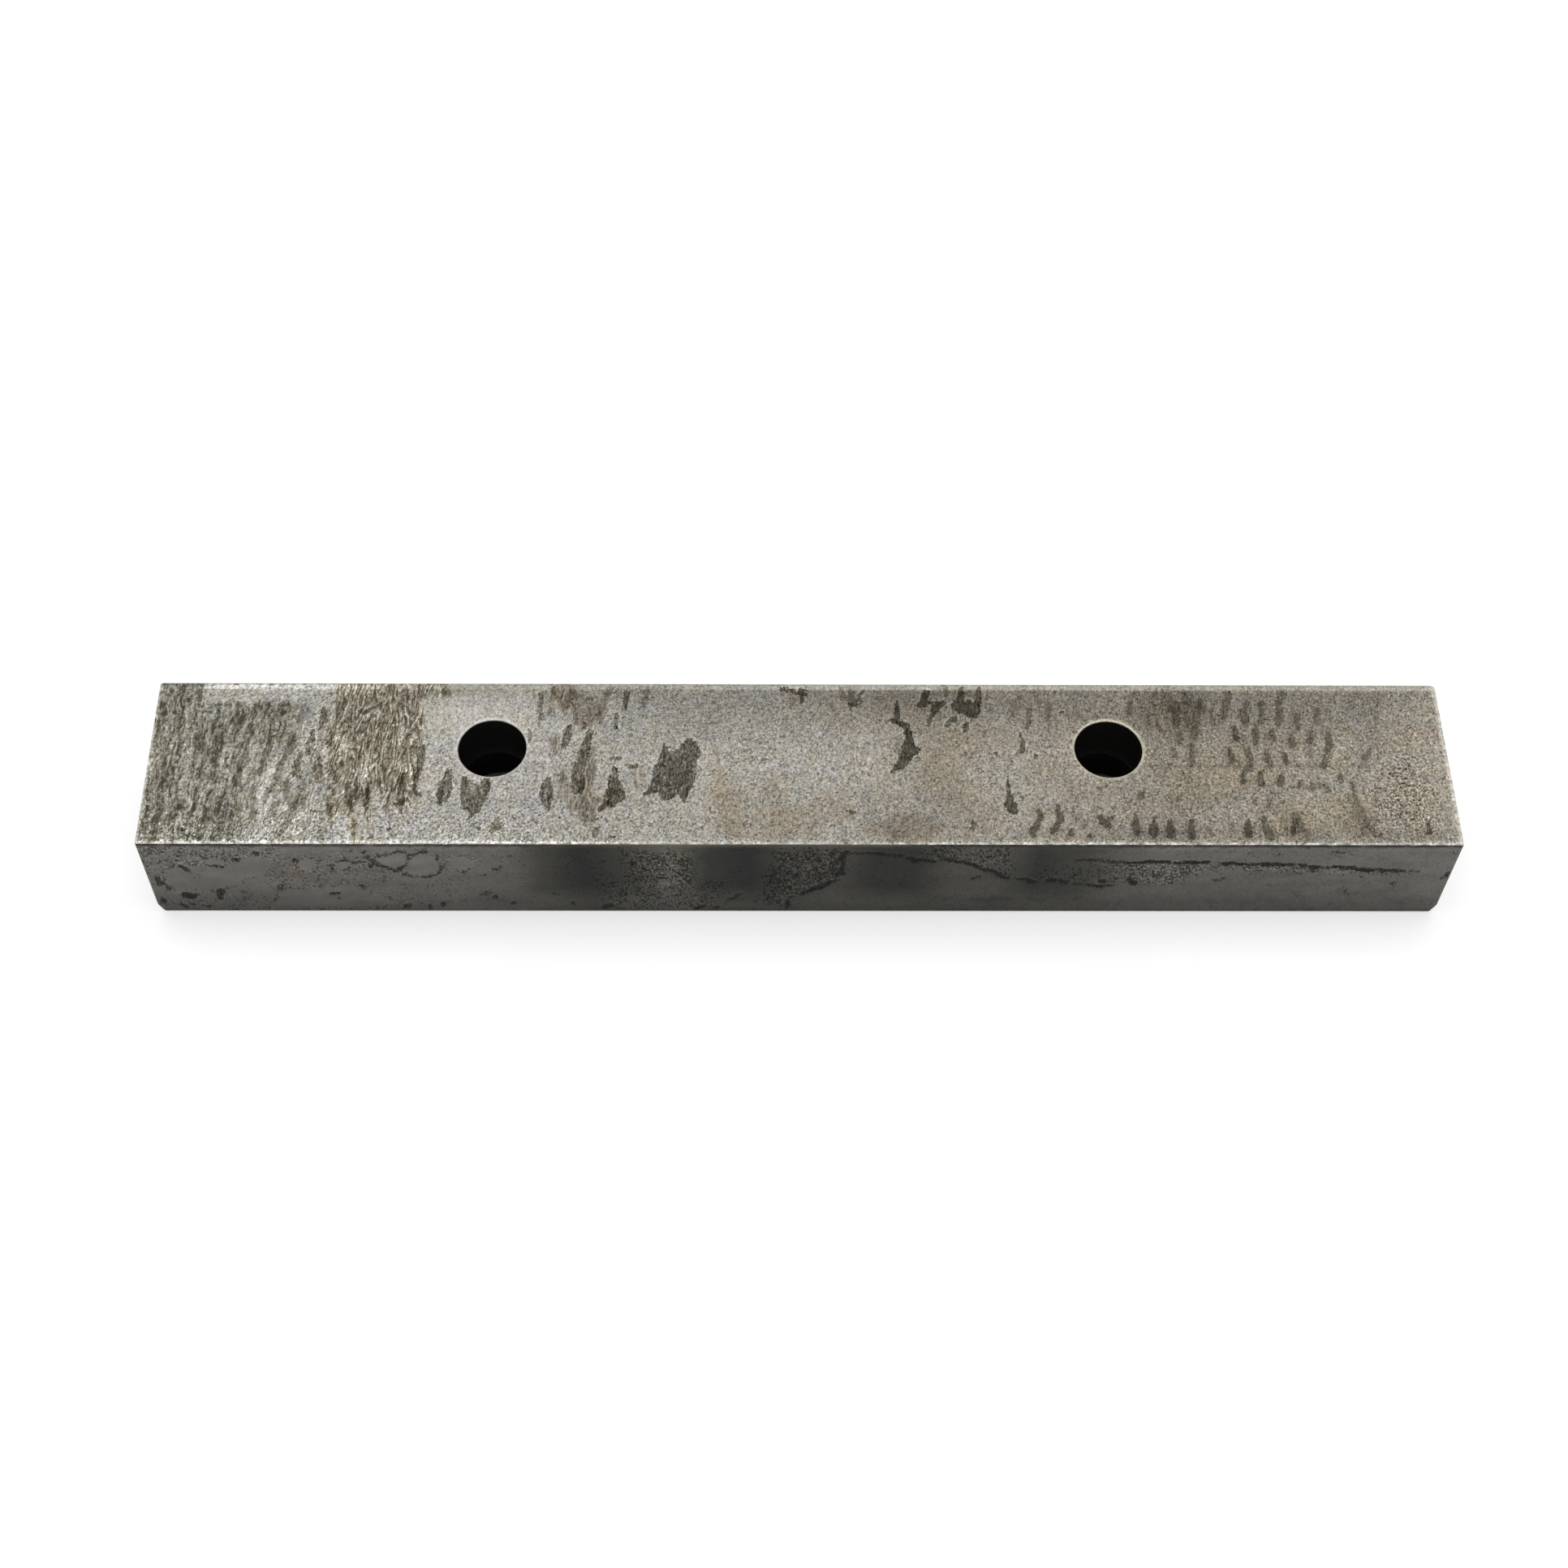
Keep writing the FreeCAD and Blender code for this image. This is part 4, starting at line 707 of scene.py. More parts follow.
def lay_top_wear(x, y, paint):
    """A scratch along the right half, two light flecks, and rubbing marks and smooth places round the left
    hole.
    """
    scratch = step(0.12 - np.abs(y + 0.42 + 0.03 * ripple(x / 4, 64)), -0.1, 0.1)
    scratch *= step(x, 25.5, 26.5) * fall(x, 54.5, 56.5)
    paint["tone"] *= 1 - 0.55 * scratch * (0.6 + 0.5 * ripple(x / 0.8, 65))
    for points in LIGHT_FLECKS:
        paint["tone"] *= 1 + 0.4 * step(stroke(x, y, points), -0.1, 0.1)
    rub = np.maximum(oval(x, y, -25.5, 1.6, 4.0, 2.6), oval(x, y, -36.0, 0.4, 3.2, 3.0))
    smooth = oval(x, y, -31.5, 5.5, 7.0, 5.0)
    paint["tone"] *= (1 + 0.35 * rub * noise(x / 1.9, y / 0.35, 66)) * (1 + 0.16 * smooth * fall(y, 5.6, 7.6))
    paint["grain"] -= 0.16 * smooth


def top_paint(x, y):
    """The mounting face: ground steel, with old streaked skin at the left, a brown band and dark marks."""
    paint = blank_paint(len(x))
    lay_top_ground(x, y, paint)
    old, sparse, bare, band = top_skins(x, y)
    blot = step(noise(x / 1.7, y / 2.8, 43), -0.4, 0.2)
    paint["tone"] *= (1 - (0.42 + 0.08 * fall(y, -2, 2)) * old) * (1 - 0.12 * sparse)
    paint["tone"] *= 1 - band * (0.32 + 0.16 * blot)
    paint["brown"] += band * (0.22 + 0.50 * blot)
    paint["olive"] += 0.55 * old + 0.90 * band + 0.1 * sparse
    paint["streaks"] = np.maximum(paint["streaks"], np.maximum(old, 0.55 * sparse))
    paint["band"] = band

    rough = oval(x + noise(x, y, 61), y + noise(x, y, 62), 58.8, -3.6, 4.4, 6.4)
    rough = np.maximum(rough, 0.5 * oval(x, y, 60.5, 2.0, 4.5, 7.0))
    near_front = fall(y, -7.4, -5.2)
    pits = np.maximum(0.72 * rough, 0.24 * step(x, 20, 34))
    paint["pits"] = np.maximum(pits, 0.28 * near_front * fall(x, -50, -38))
    lay_top_edges(x, y, bare, paint)

    ragged_x = x + 0.10 * noise(x / 0.7, y / 1.2, 51)
    ragged_y = y + 0.25 * noise(x / 0.8, y / 1.4, 53)
    lay_soft(ragged_x, ragged_y, TOP_SOFT, paint)
    lay_crisp(ragged_x, ragged_y, TOP_CRISP, paint)
    lay_crisp(ragged_x, ragged_y, TOP_HALOED, paint, haloed=True)
    core = step(paint["cover"], 0.3, 0.8) * paint["strength"] * step(x, -47, -45)
    to_left = fall(x, -7, -3)
    paint["tone"] *= 1 - (0.36 + 0.12 * to_left) * core
    paint["streaks"] = np.maximum(paint["streaks"], core * (0.25 + 0.65 * to_left))
    lay_top_wear(x, y, paint)
    paint["grain"] += 0.14 * near_front * fall(x, -28, -12) - 0.01 * step(x, 16, 32)
    paint["grain"] *= 1 - 0.35 * core * (1 - to_left)

    dent = noise(x / 0.8, y / 1.6, 67)
    paint["relief"] = -0.02 * old * step(dent, -0.3, 0.3) - 0.02 * band * step(dent, -0.2, 0.3)
    paint["relief"] -= 0.02 * rough * step(dent, -0.1, 0.3)
    paint["relief"] -= 0.05 * step(paint["cover"], 0.2, 0.9) * paint["strength"]
    return paint


def front_skins(x, z, wavy_x, wavy_z):
    """How much the smooth islands of the front side are lifted, their rims, and how crowded its pits are."""
    island, rim = np.zeros(len(x)), np.zeros(len(x))
    for lift, points in FRONT_ISLANDS:
        depth = outline(wavy_x, wavy_z, points)
        island = np.maximum(island, step(depth, -0.1, 0.16) * lift)
        rim = np.maximum(rim, step(depth, -0.55, -0.1) * fall(depth, -0.1, 0.1))
    loose_x = x + 0.7 * noise(x, z, 109)
    loose_z = z + 0.7 * noise(x, z, 110)
    pitted = np.full(len(x), 0.10)
    for density, points in FRONT_PITTED:
        crowd = step(outline(loose_x, loose_z, points), -0.8, 0.7)
        pitted = np.maximum(pitted, (density - 0.2 * fall(x, -30, -18)) * crowd)
    return island, rim, pitted


def front_paint(x, z):
    """The front side: darker mill skin, partly painted shade, with painted reflections, smooth islands,
    crowded pits, dark lines and a painted shade line along its foot.
    """
    paint = blank_paint(len(x))
    wavy_x = x + 0.30 * noise(x / 0.9, z / 0.9, 101)
    wavy_z = z + 0.30 * noise(x / 0.9, z / 0.9, 103)
    screw_reflection = along(x + 0.6 * noise(x / 3.0, z / 3.0, 104), FRONT_SCREW_REFLECTIONS)
    mottle = 0.12 * cloudy(x / 3.5, z / 2.6, 105) + 0.12 * noise(x / 0.8, z / 1.1, 106)
    # long soft clouds across the front side: painted soft reflections
    mottle += 0.30 * noise(x / 5.5, z / 1.5, 116)
    island, rim, pitted = front_skins(x, z, wavy_x, wavy_z)
    smooth = step(island, 0.02, 0.10)
    paint["tone"] = along(x, FRONT_TONE_AND_SHADE) * along(z, FRONT_RISE) * (1 + mottle) * (1 + island)
    # painted reflections of screws darken the front side and tint it olive
    paint["tone"] *= 1 - screw_reflection * step(z, 1.0, 5.5) * fall(z, TOP - 0.8, TOP)
    paint["brown"] = 0.12 * noise(x / 2.5, z / 2.5, 107)
    paint["olive"] = 0.25 + 0.3 * noise(x / 3.0, z / 3.0, 108) + 0.8 * screw_reflection
    paint["olive"] += 0.15 * step(x, -31, -25) * fall(x, 29, 35)
    paint["pits"] = np.clip(pitted + 0.5 * rim, 0, 1) * (1 - smooth)
    for share, softness, points in RED_SPOTS:
        paint["red"] = np.maximum(paint["red"], share * step(stroke(x, z, points), *softness))
    lay_soft(wavy_x, wavy_z, FRONT_SOFT, paint)
    lay_crisp(wavy_x, wavy_z, FRONT_CRISP, paint)
    lay_crisp(wavy_x, wavy_z, FRONT_HALOED, paint, haloed=True)
    core = step(paint["cover"], 0.1, 0.7)
    paint["tone"] *= 1 - 0.65 * core * paint["strength"]
    paint["pits"] = np.maximum(paint["pits"], 0.8 * core)

    near_top = step(z, TOP - 1.2, TOP - 0.7) * fall(z, TOP - 0.5, TOP - 0.3)
    paint["tone"] *= 1 + 0.20 * near_top * np.clip(0.6 + 1.6 * ripple(x / 9.0, 114), 0, 1)
    # painted shade along the foot of the front side
    paint["tone"] *= 1 - 0.7 * fall(z - 0.5 * ripple(x / 0.9, 117), 0.3, 0.6)
    paint["grain"] = 0.08 + 0.10 * (1 - smooth) * np.clip(pitted * 2, 0, 1)
    paint["relief"] = 0.008 * smooth - 0.05 * step(paint["cover"], 0.2, 0.9) * paint["strength"]
    paint["relief"] -= 0.012 * pitted * step(noise(x / 0.7, z / 0.9, 115), -0.2, 0.3)
    return paint


def plain_paint(u, v, tone, seed):
    """A side with no marks of its own: mill skin with cloudy stains, a few pitted patches and some specks."""
    paint = blank_paint(len(u))
    mottle = 0.16 * cloudy(u / 5.0, v / 3.5, seed) + 0.07 * noise(u / 0.9, v / 1.1, seed + 1)
    speck = noise(u / 0.9, v / 1.3, seed + 5)
    paint["tone"] = tone * (1 + mottle)
    paint["brown"] = np.clip(0.08 + 0.5 * cloudy(u / 3.5, v / 3.0, seed + 2, 2), 0, 1)
    paint["olive"] = np.clip(0.10 + 0.4 * noise(u / 4.0, v / 3.0, seed + 3), 0, 1)
    paint["pits"] = 0.12 + 0.40 * step(cloudy(u / 6.0, v / 4.0, seed + 4, 2), 0.0, 0.5)
    paint["cover"] = np.clip(0.5 + 3.0 * (speck - 0.52), 0, 1)
    paint["strength"] += 0.6
    paint["hue"] += 0.3
    paint["grain"] = np.full(len(u), 0.22)
    paint["relief"] = -0.012 * paint["pits"] * step(noise(u / 0.7, v / 0.9, seed + 6), -0.2, 0.3)
    return paint


def thin(paint, layers, share):
    """Weakens some layers by a share."""
    for layer in layers:
        paint[layer] *= 1 - share


def paint_front_edge_light_and_shade(x, y, z, paint):
    """Paints a highlight along the mounting face's front edge, with a painted dark shade line just under it.
    Gives how much highlight.
    """
    past_edge = (HALF_WIDTH + y) - (TOP - z) + 0.07 * ripple(x / 0.8, 119)
    # the crest: a painted highlight along the rounded front edge; worn sets its strength from place to place
    crest_highlight = step(past_edge, -0.10, -0.02) * step(along(x, CREST_WIDTH) - past_edge, 0, 0.28)
    crest_highlight *= (z > TOP - 0.5) * along(x, CREST_SHINE)
    worn = np.clip(0.85 + 0.7 * ripple(x / 1.1, 120) + 0.5 * noise(x / 0.45, y / 0.3, 121), 0.1, 1.3)
    thin(paint, ("streaks", "band", "cover", "pits", "brown", "olive"), 0.8 * crest_highlight)
    paint["tone"] += crest_highlight * (0.68 * worn - paint["tone"]) * np.clip(0.4 + worn, 0, 1)
    # a painted shade line on the rounding just under the front edge, broken up along the jaw
    under = fall(past_edge, -0.14, -0.04) * step(past_edge + 0.2 * ripple(x, 125), -0.76, -0.41)
    broken_shade = np.clip(0.95 + 0.9 * ripple(x / 1.4, 122) + 0.6 * ripple(x / 0.4, 123), 0.15, 1)
    paint["tone"] *= 1 - 0.95 * under * (y < 0.4 - HALF_WIDTH) * broken_shade * along(x, UNDER_EDGE_SHADE)
    return crest_highlight


def paint_other_edge_highlights(x, y, z, normals, crest_highlight, paint):
    """Paints highlights on the top edges of both ends and on the back edge, and a little painted highlight on
    every other edge.
    """
    near_end = step(x, HALF_LENGTH - 0.55, HALF_LENGTH - 0.25)
    near_end += 0.8 * fall(x, -HALF_LENGTH + 0.1, -HALF_LENGTH + 0.4)
    near_end *= np.clip(0.8 + 1.1 * ripple(y / 0.5, 126), 0.2, 1)
    near_back = (0.45 + 0.35 * step(x, -12, 4)) * step(y, 8.50, 8.75) * step(x, -44, -40)
    near_back *= np.clip(0.85 + 0.5 * ripple(x / 1.5, 127), 0, 1)
    # painted highlights on the top edges of the ends and of the back
    edge_highlight = np.clip(near_end + near_back, 0, 1) * (normals[:, 2] > 0.2)
    near_end = np.clip(near_end, 0, 1)
    paint["tone"] += edge_highlight * (0.46 + 0.24 * near_end - paint["tone"])
    thin(paint, ("streaks", "pits", "brown", "olive", "grain"), 0.6 * edge_highlight)
    # a faint painted highlight on every other rounded edge
    slanted = (1 - (normals**2).max(axis=1)) * 2 * (1 - crest_highlight)
    at_hole = (np.abs(x) < HALF_LENGTH - 2) & (np.abs(y) < HALF_WIDTH - 2)
    shine = np.where(at_hole, 0.15, 0.5) * np.clip(0.6 + noise(x / 1.3 + y, z / 1.3 + y, 124), 0, 1)
    paint["tone"] *= 1 + shine * slanted


def paint_skin(points, normals):
    """The paint of every point of the skin, mixed across the rounded edges by which way the surface faces."""
    x, y, z = points.T
    to_end, to_back, up = normals.T
    sides = (
        (np.clip(up, 0, 1), lambda on: top_paint(x[on], y[on])),
        (np.clip(-to_back, 0, 1), lambda on: front_paint(x[on], z[on])),
        (np.clip(to_back, 0, 1), lambda on: plain_paint(x[on], z[on], PLAIN_BACK, 200)),
        (np.clip(-up, 0, 1), lambda on: plain_paint(x[on], y[on] * 0.5, PLAIN_BOTTOM, 300)),
        (np.abs(to_end), lambda on: plain_paint(y[on] + 40 * np.sign(x[on]), z[on], PLAIN_ENDS, 400)),
    )
    paint = {layer: np.zeros(len(points)) for layer in PAINT_LAYERS}
    for share, side in sides:
        share = share**2
        on = np.nonzero(share > 0.002)[0]
        for layer, values in side(on).items():
            paint[layer][on] += share[on] * values
    crest_highlight = paint_front_edge_light_and_shade(x, y, z, paint)
    paint_other_edge_highlights(x, y, z, normals, crest_highlight, paint)
    return paint


# ---------------------------------------------------------------- form
def rounded(a, b, radius):
    """Signed distance to two crossing planes' outside corner, rounded to that radius."""
    outside = np.hypot(np.maximum(a + radius, 0), np.maximum(b + radius, 0))
    return np.minimum(np.maximum(a, b), -radius) + outside


def edge_wear(x):
    """How far the front top edge is worn back along the jaw, with small nicks."""
    nicks = step(ripple(x / 0.9, 131, 0.5), 0.30, 0.50) * 0.14
    return TOP_FRONT_ROUND + 0.05 * ripple(x / 2.2, 132) + 0.03 * ripple(x / 0.6, 133) + nicks


def form(points):
    """Signed distance to the bar's worn surface, without its holes."""
    x, y, z = points.T
    aside, upward = np.abs(y) - HALF_WIDTH, np.abs(z - TOP / 2) - TOP / 2
    above, behind = z > TOP / 2, y > 0
    radius = np.where(above, np.where(behind, TOP_BACK_ROUND, edge_wear(x)), BOTTOM_ROUND)
    section = rounded(aside, upward, radius)
    back_round = np.where(x > 0, RIGHT_BACK_ROUND, LEFT_BACK_ROUND)
    turn = step(np.where(behind, aside - upward, -9), -0.6, 0.6)
    end_round = END_ROUND + (back_round - END_ROUND) * turn
    ends = np.abs(x) - HALF_LENGTH
    foot = (ends * FOOT_RISE - (z - FOOT_RISE) * FOOT_RUN) / math.hypot(FOOT_RISE, FOOT_RUN)
    return rounded(np.maximum(ends, foot), section, end_round)


def slope(points):
    """Unit vector that points straight out of the surface."""
    out = np.stack([form(points + move) - form(points - move) for move in np.eye(3) * SLOPE_STEP], axis=1)
    return out / np.maximum(np.linalg.norm(out, axis=1, keepdims=True), 1e-9)


# ---------------------------------------------------------------- mesh
class Skin:
    """Points and faces of the bar's surface as they are collected."""

    def __init__(self):
        self.points = []
        self.faces = []
        self.bore = []

    def add(self, points, bore=False):
        """Adds points and gives their numbers; bore says that they are the wall of a hole."""
        first = len(self.points)
        self.points.extend(tuple(float(c) for c in p) for p in points)
        self.bore.extend([bore] * len(points))
        return np.arange(first, len(self.points))

    def fill(self, numbers, flat, fixed_edges, ring_start=None, flip=False):
        """Fills an area with triangles between points: flat gives their places in its plane. The points from
        ring_start on are the rim of a hole, which stays open."""
        edges = [tuple(int(n) for n in edge) for edge in fixed_edges]
        made = delaunay_2d_cdt([tuple(map(float, p)) for p in flat], edges, [], 0, 1e-6, True)
        triangles, sources = made[2], made[3]
        for triangle in triangles:
            corners = [sources[n][0] for n in triangle]
            if ring_start is None or min(corners) < ring_start:
                self.faces.append([int(numbers[n]) for n in (reversed(corners) if flip else corners)])

    def in_use(self):
        """The points that faces use, whether each is a hole's wall, and the faces by their new numbers."""
        used = sorted({n for face in self.faces for n in face})
        renumber = {old: new for new, old in enumerate(used)}
        faces = [[renumber[n] for n in face] for face in self.faces]
        return np.array(self.points)[used], np.array(self.bore)[used], faces


def lines(low, high, pitch, near_low, near_high):
    """Grid lines from low to high, about pitch apart and closer together near both ends."""
    start, end = low + near_low[-1], high - near_high[-1]
    middle = np.linspace(start, end, round((end - start) / pitch) + 1)
    return np.concatenate([low + np.array(near_low[:-1]), middle, high - np.array(near_high[:-1])[::-1]])


def ring_numbers(count):
    """Pairs of neighbours round a closed ring."""
    return [(n, (n + 1) % count) for n in range(count)]


def hole_profile():
    """(radius, height) down a screw hole and its head seat, from the mounting face to the clamping face."""
    hole, seat, ledge = HOLE_RADIUS, SEAT_RADIUS, SEAT_DEPTH
    neck = [(hole, z) for z in np.linspace(TOP - HOLE_BREAK - 0.1, ledge + 0.12, 6)]
    shelf = [(r, ledge) for r in np.linspace(hole + 0.12, seat - 0.14, 4)]
    wall = [(seat, z) for z in np.linspace(ledge - 0.14, SEAT_BREAK + 0.09, 5)]
    return [
        (hole + HOLE_BREAK, TOP), (hole + 0.06, TOP - 0.045), (hole + 0.01, TOP - 0.10), *neck,
        (hole + 0.04, ledge + 0.03), *shelf, (seat - 0.04, ledge - 0.04), *wall, (seat + 0.03, SEAT_BREAK),
        (seat + SEAT_BREAK, 0.0)]


def add_hole(skin, centre):
    """Adds a hole's wall and gives the numbers of its top ring and its bottom ring."""
    angles = np.linspace(0, 2 * np.pi, RING, endpoint=False)
    rings = []
    for number, (radius, height) in enumerate(hole_profile()):
        reach = radius * (1 + 0.010 * ripple(angles * 3, 141, float(number)))
        across, back = centre[0] + reach * np.cos(angles), centre[1] + reach * np.sin(angles)
        rings.append(skin.add(np.stack([across, back, np.full(RING, height)], axis=1), bore=True))
    for upper, lower in zip(rings, rings[1:]):
        for here, there in ring_numbers(RING):
            skin.faces.append([upper[here], upper[there], lower[there], lower[here]])
    return rings[0], rings[-1]


def near_middle(values, middle, reach):
    """The grid lines within reach of a middle, as a slice."""
    near = np.nonzero(np.abs(values - middle) <= reach)[0]
    return slice(near[0], near[-1] + 1)


def fill_window(skin, numbers, places, centre, ring, radius, flip):
    """Fills the grid window round a hole: numbers and places are its grid of points, ring the hole's rim."""
    rows, columns = numbers.shape
    flat = places.reshape(-1, 2)
    keep = np.hypot(flat[:, 0] - centre[0], flat[:, 1] - centre[1]) > radius + RIM_GAP
    new = np.cumsum(keep) - 1
    order = np.arange(rows * columns).reshape(rows, columns)
    border = np.concatenate([order[0, :-1], order[:-1, -1], order[-1, :0:-1], order[:0:-1, 0]])
    count = int(keep.sum())
    edges = [(new[a], new[b]) for a, b in zip(border, np.roll(border, -1))]
    edges += [(count + a, count + b) for a, b in ring_numbers(RING)]
    rim = np.array([skin.points[n][:2] for n in ring])
    numbers = np.concatenate([numbers.reshape(-1)[keep], ring])
    skin.fill(numbers, np.concatenate([flat[keep], rim]), edges, count, flip)


def open_side(skin, grid, columns, used, side, first_row, centre, ring, radius, reach):
    """Joins a hole's rim to the grid of one face: used are that face's columns, side the places of its rows,
    and first_row the grid row taken for the first of them. Gives the window's rows and columns."""
    beside = used[near_middle(columns[used], centre[0], reach)]
    behind = near_middle(side, centre[1], reach)
    numbers = grid[first_row : first_row + len(side)][behind][:, beside]
    places = np.stack(np.meshgrid(columns[beside], side[behind]), axis=2)
    fill_window(skin, numbers, places, centre, ring, radius, flip=side[0] > side[-1])
    return first_row + behind.start, first_row + behind.stop - 1, beside[0], beside[-1]


def weave(skin, grid, coarse, fine_rows, windows):
    """Fills the tube between its rows of points, except in the windows round the holes."""
    rows, columns = grid.shape
    for row in range(rows):
        above = (row + 1) % rows
        fine_here, fine_above = row < fine_rows, above < fine_rows
        stops = range(columns) if fine_here and fine_above else coarse
        for here, there in zip(stops, stops[1:]):
            if any(a <= row < b and c <= here and there <= d for a, b, c, d in windows):
                continue
            near = range(here, there + 1) if fine_here else (here, there)
            far = range(here, there + 1) if fine_above else (here, there)
            skin.faces.append([grid[row, c] for c in near] + [grid[above, c] for c in reversed(far)])


def cap_ends(skin, columns, grid, section):
    """Fills both ends of the tube."""
    cap_y = lines(-HALF_WIDTH, HALF_WIDTH, CAP, NARROW, WIDE)[1:-1]
    cap_z = lines(0, TOP, CAP, FOOT, NARROW)[1:-1]
    inner = np.stack(np.meshgrid(cap_y, cap_z), axis=2).reshape(-1, 2)
    for column in (0, -1):
        numbers = np.concatenate([grid[:, column], skin.add([(columns[column], y, z) for y, z in inner])])
        skin.fill(numbers, np.concatenate([section, inner]), ring_numbers(len(section)), flip=column == 0)


def build_skin():
    """The bar's skin: a tube of fine and coarse rows round its length, two end caps and two holes."""
    skin = Skin()
    columns = lines(-HALF_LENGTH, HALF_LENGTH, FINE, NARROW, NARROW)
    fine = np.arange(len(columns))
    last = fine[-1]
    coarse = np.array([0, 2, *range(5, last - 5, COARSE_EVERY), last - 5, last - 2, last])
    front = lines(0, TOP, FRONT_PITCH, FOOT, NARROW)
    top = lines(-HALF_WIDTH, HALF_WIDTH, FINE, NARROW, WIDE)
    back = lines(0, TOP, COARSE, FOOT, WIDE)[::-1]
    bottom = lines(-HALF_WIDTH, HALF_WIDTH, COARSE, FOOT, FOOT)[::-1]
    section = [(-HALF_WIDTH, z) for z in front] + [(y, TOP) for y in top[1:]]
    section += [(HALF_WIDTH, z) for z in back[1:]] + [(y, 0.0) for y in bottom[1:-1]]
    fine_rows = len(front) + len(top) - 1 + len(WIDE) - 1
    top_row = len(front) - 1
    # One short of the clamping face's first row, so each head seat's rim is joined to the wrong rows. This is
    # a known fault: a sliver of skin covers part of each seat's mouth
    bottom_row = len(section) - len(bottom)

    grid = np.full((len(section), len(columns)), -1)
    for row, (y, z) in enumerate(section):
        used = fine if row < fine_rows else coarse
        grid[row, used] = skin.add([(columns[c], y, z) for c in used])

    windows = []
    for centre in HOLE_CENTRES:
        upper, lower = add_hole(skin, centre)
        windows.append(open_side(skin, grid, columns, fine, top, top_row, centre, upper,
                                 HOLE_RADIUS + HOLE_BREAK, HOLE_RADIUS + WINDOW_BY_HOLE))
        windows.append(open_side(skin, grid, columns, coarse, bottom, bottom_row, centre, lower,
                                 SEAT_RADIUS + SEAT_BREAK, SEAT_RADIUS + WINDOW_BY_SEAT))
    weave(skin, grid, coarse, fine_rows, windows)
    cap_ends(skin, columns, grid, section)
    return skin


def press_relief(points, bore, normals, relief):
    """Moves the points in or out by their relief, except on the underside, in the holes and at their rims."""
    off_hole = np.min([np.hypot(points[:, 0] - cx, points[:, 1] - cy) for cx, cy in HOLE_CENTRES], axis=0)
    share = np.where(normals[:, 2] > 0.5, step(off_hole, HOLE_RADIUS + 0.2, HOLE_RADIUS + 0.6), 1)
    share = np.where((normals[:, 2] < -0.5) | bore, 0, share)
    points += normals * (relief * share)[:, None]


def shade_bores(points, bore, paint):
    """Paints the walls of the holes, all but their rims, near black: painted shade deep in a hole."""
    depth = np.where(bore, TOP - points[:, 2], 0)
    paint["tone"] = np.where(bore, 0.50 - 0.488 * step(depth, 0.04, 0.11), paint["tone"])
    for layer in ("streaks", "band", "cover", "pits"):
        paint[layer][bore] = 0
    paint["grain"][bore] = 0.2


def flow_places(points):
    """Where each point lies in the material's grain, whose furrows run front to back, lean and wander."""
    x, y, z = points.T
    wander = 0.30 * noise(x / 1.3, y / 2.1, 11) + 0.12 * noise(x / 0.6, y, 12)
    return np.stack([x - along(x, STREAK_LEAN) * y + wander, y, z], axis=1)


def add_attribute(mesh, name, kind, field, values):
    """Gives every point of the mesh these values under that name."""
    attribute = mesh.attributes.new(name, kind, "POINT")
    attribute.data.foreach_set(field, values.astype(np.float32).ravel())


def add_object(name, data):
    """A new object of the scene."""
    made = bpy.data.objects.new(name, data)
    bpy.context.scene.collection.objects.link(made)
    return made


def make_piece(skin, material):
    """Shapes the skin, paints it and makes it one object in metres."""
    points, bore, faces = skin.in_use()
    for _ in range(SETTLE_TURNS):
        points[~bore] -= form(points[~bore])[:, None] * slope(points[~bore])
    normals = slope(points)
    paint = paint_skin(points, np.where(bore[:, None], [[0.0, 0.0, 1.0]], normals))
    press_relief(points, bore, normals, paint["relief"])
    shade_bores(points, bore, paint)

    mesh = bpy.data.meshes.new(PIECE)
    mesh.from_pydata((points / MM).tolist(), [], faces)
    mesh.validate()
    mesh.polygons.foreach_set("use_smooth", [True] * len(mesh.polygons))
    mesh.set_sharp_from_angle(angle=math.radians(SHARP_ANGLE))
    add_attribute(mesh, "flow", "FLOAT_VECTOR", "vector", flow_places(points))
    for name, layers in PAINT_GROUPS.items():
        colours = np.clip(np.stack([paint[layer] for layer in layers], axis=1), 0, 1)
        add_attribute(mesh, name, "FLOAT_COLOR", "color", colours)
    mesh.materials.append(material)
    return add_object(PIECE, mesh)


